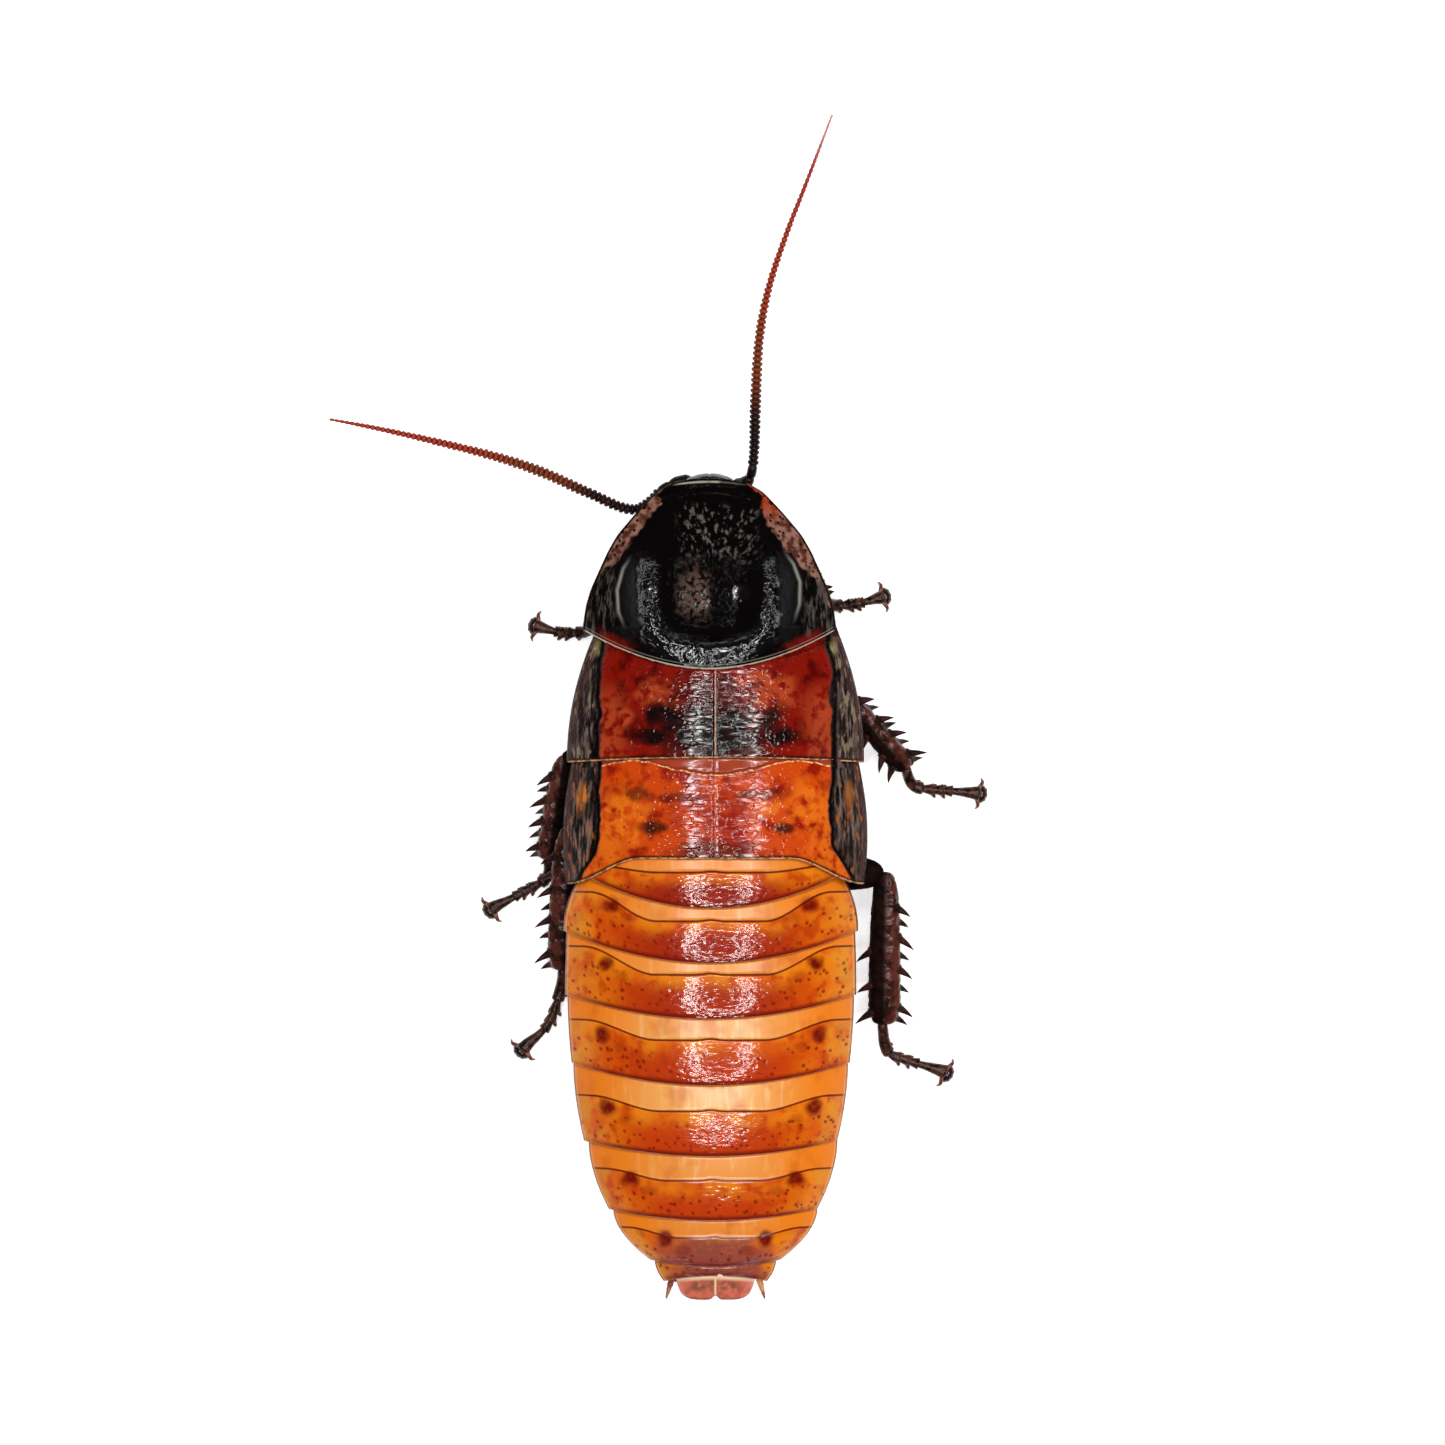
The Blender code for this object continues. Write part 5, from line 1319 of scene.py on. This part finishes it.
def paint_head():
    paint = Paint("head", 0.26, IOR=1.6, Specular_IOR_Level=0.7)
    paint.colour = paint.mix(paint.noise(0.5, 3.0), (14, 9, 8), (34, 18, 14))
    paint.coat((92, 44, 24), "low", 0.8)
    paint.coat((206, 160, 104), "ocellus")
    paint.finish(paint.noise(0.22, 3.0), 0.04)


def paint_eye():
    paint = Paint("eye", 0.12, IOR=1.7)
    facets = paint.cells(0.1)
    paint.colour = paint.mix(paint.ramp(facets, 0.2, 0.6), (70, 46, 38), (20, 13, 12))
    paint.finish(paint.ramp(facets, 0.6, 0.0), 0.008)


def paint_all():
    """Makes every material of the animal. Each piece then finds its own by name."""
    paint_pronotum()
    paint_wing("mesonotum", (134, 20, 8), (184, 70, 34), (84, 7, 5), (150, 130, 104), (196, 176, 118))
    paint_wing("metanotum", (210, 72, 14), (232, 112, 24), (152, 24, 8), (176, 100, 44), (206, 120, 44))
    paint_leg("coxa", (26, 12, 8), (96, 46, 24))
    paint_leg("leg", (5, 3, 3), (94, 46, 36))
    paint_plain("tarsus", (14, 7, 6), (80, 42, 30), 0.35, 0.26, 0.05, Specular_IOR_Level=0.2)
    paint_plain("arolium", (56, 18, 12), (22, 8, 6), 0.3, 0.25, 0.03)
    paint_plain("palp", (90, 40, 24), (40, 18, 12), 0.4, 0.35, 0.03)
    paint_plain("cercus", (236, 170, 110), (140, 60, 34), 0.9, 0.35, 0.03)
    for make_paint in (paint_abdomen, paint_tail, paint_underside, paint_membrane, paint_lobe, paint_claw,
                       paint_antenna, paint_head, paint_eye):
        make_paint()


def make_floor():
    """A sheet of glowing white paper, a hair below the flats that the model stands on."""
    mesh = bpy.data.meshes.new("floor")
    corners = [(x * FLOOR_HALF, y * FLOOR_HALF, FLOOR_LEVEL) for x, y in ((-1, -1), (1, -1), (1, 1), (-1, 1))]
    mesh.from_pydata(corners, [], [(0, 1, 2, 3)])
    floor = bpy.data.objects.new("floor", mesh)
    bpy.context.scene.collection.objects.link(floor)
    paint = Paint("paper", 0.9)
    paint.set("Base Color", paint.mix(paint.noise(40.0, 3.0), (0.93, 0.93, 0.93, 1), (0.96, 0.96, 0.96, 1)))
    paint.set("Emission Color", (1, 1, 1, 1))
    paint.set("Emission Strength", FLOOR_GLOW)
    mesh.materials.append(paint.material)


def make_lamps(middle):
    """A ring of small bright lamps above the animal. Each faces straight down."""
    for k in range(LAMPS):
        light = bpy.data.lights.new(f"ring_{k}", "AREA")
        light.shape, light.size, light.energy = "DISK", LAMP_SIZE, LAMP_POWER
        lamp = bpy.data.objects.new(light.name, light)
        angle = 2 * math.pi * (k + 0.5) / LAMPS
        lamp.location = (middle[0] + LAMP_SHIFT + LAMP_RING * math.cos(angle),
                         middle[1] + LAMP_RING * math.sin(angle), LAMP_HEIGHT)
        lamp.rotation_euler = (0, 0, -math.pi / 2)
        bpy.context.scene.collection.objects.link(lamp)


def make_sky():
    """A faint sky, as pale as the floor near the horizon."""
    world = bpy.data.worlds.new("sky")
    bpy.context.scene.world = world
    world.use_nodes = True
    nodes, links = world.node_tree.nodes, world.node_tree.links
    direction = nodes.new("ShaderNodeTexCoord").outputs["Generated"]
    split, shade = nodes.new("ShaderNodeSeparateXYZ"), nodes.new("ShaderNodeMapRange")
    shade.interpolation_type = "SMOOTHSTEP"
    for name, value in (("From Min", 0.1), ("From Max", 0.15), ("To Min", 0.64), ("To Max", 0.05)):
        shade.inputs[name].default_value = value
    links.new(direction, split.inputs[0])
    links.new(split.outputs["Z"], shade.inputs["Value"])
    links.new(shade.outputs[0], nodes["Background"].inputs["Strength"])
    nodes["Background"].inputs["Color"].default_value = (1, 1, 1, 1)


def make_camera(middle):
    camera = bpy.data.cameras.new("camera")
    camera.lens, camera.sensor_width = LENS, SENSOR
    camera.clip_start, camera.clip_end = 0.01, 20
    eye = bpy.data.objects.new("camera", camera)
    distance = LENS / SENSOR * VIEW_WIDE * MM
    eye.location = (middle[0], middle[1], VIEW_HEIGHT * MM + distance)
    eye.rotation_euler = (0, 0, math.pi)
    bpy.context.scene.collection.objects.link(eye)
    bpy.context.scene.camera = eye


def main():
    bpy.context.scene.view_settings.view_transform = "Standard"
    paint_all()
    make_pronotum()
    make_back_plates()
    make_tail_plate()
    make_underside()
    make_body()
    make_head()
    make_antennae()
    make_cerci()
    for number, (name, leg) in enumerate(LEGS.items()):
        make_leg(name, leg, number)
    middle = (VIEW_CENTRE + OFFSET[:2]) * MM
    make_floor()
    make_lamps(middle)
    make_sky()
    make_camera(middle)
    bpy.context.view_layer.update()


main()
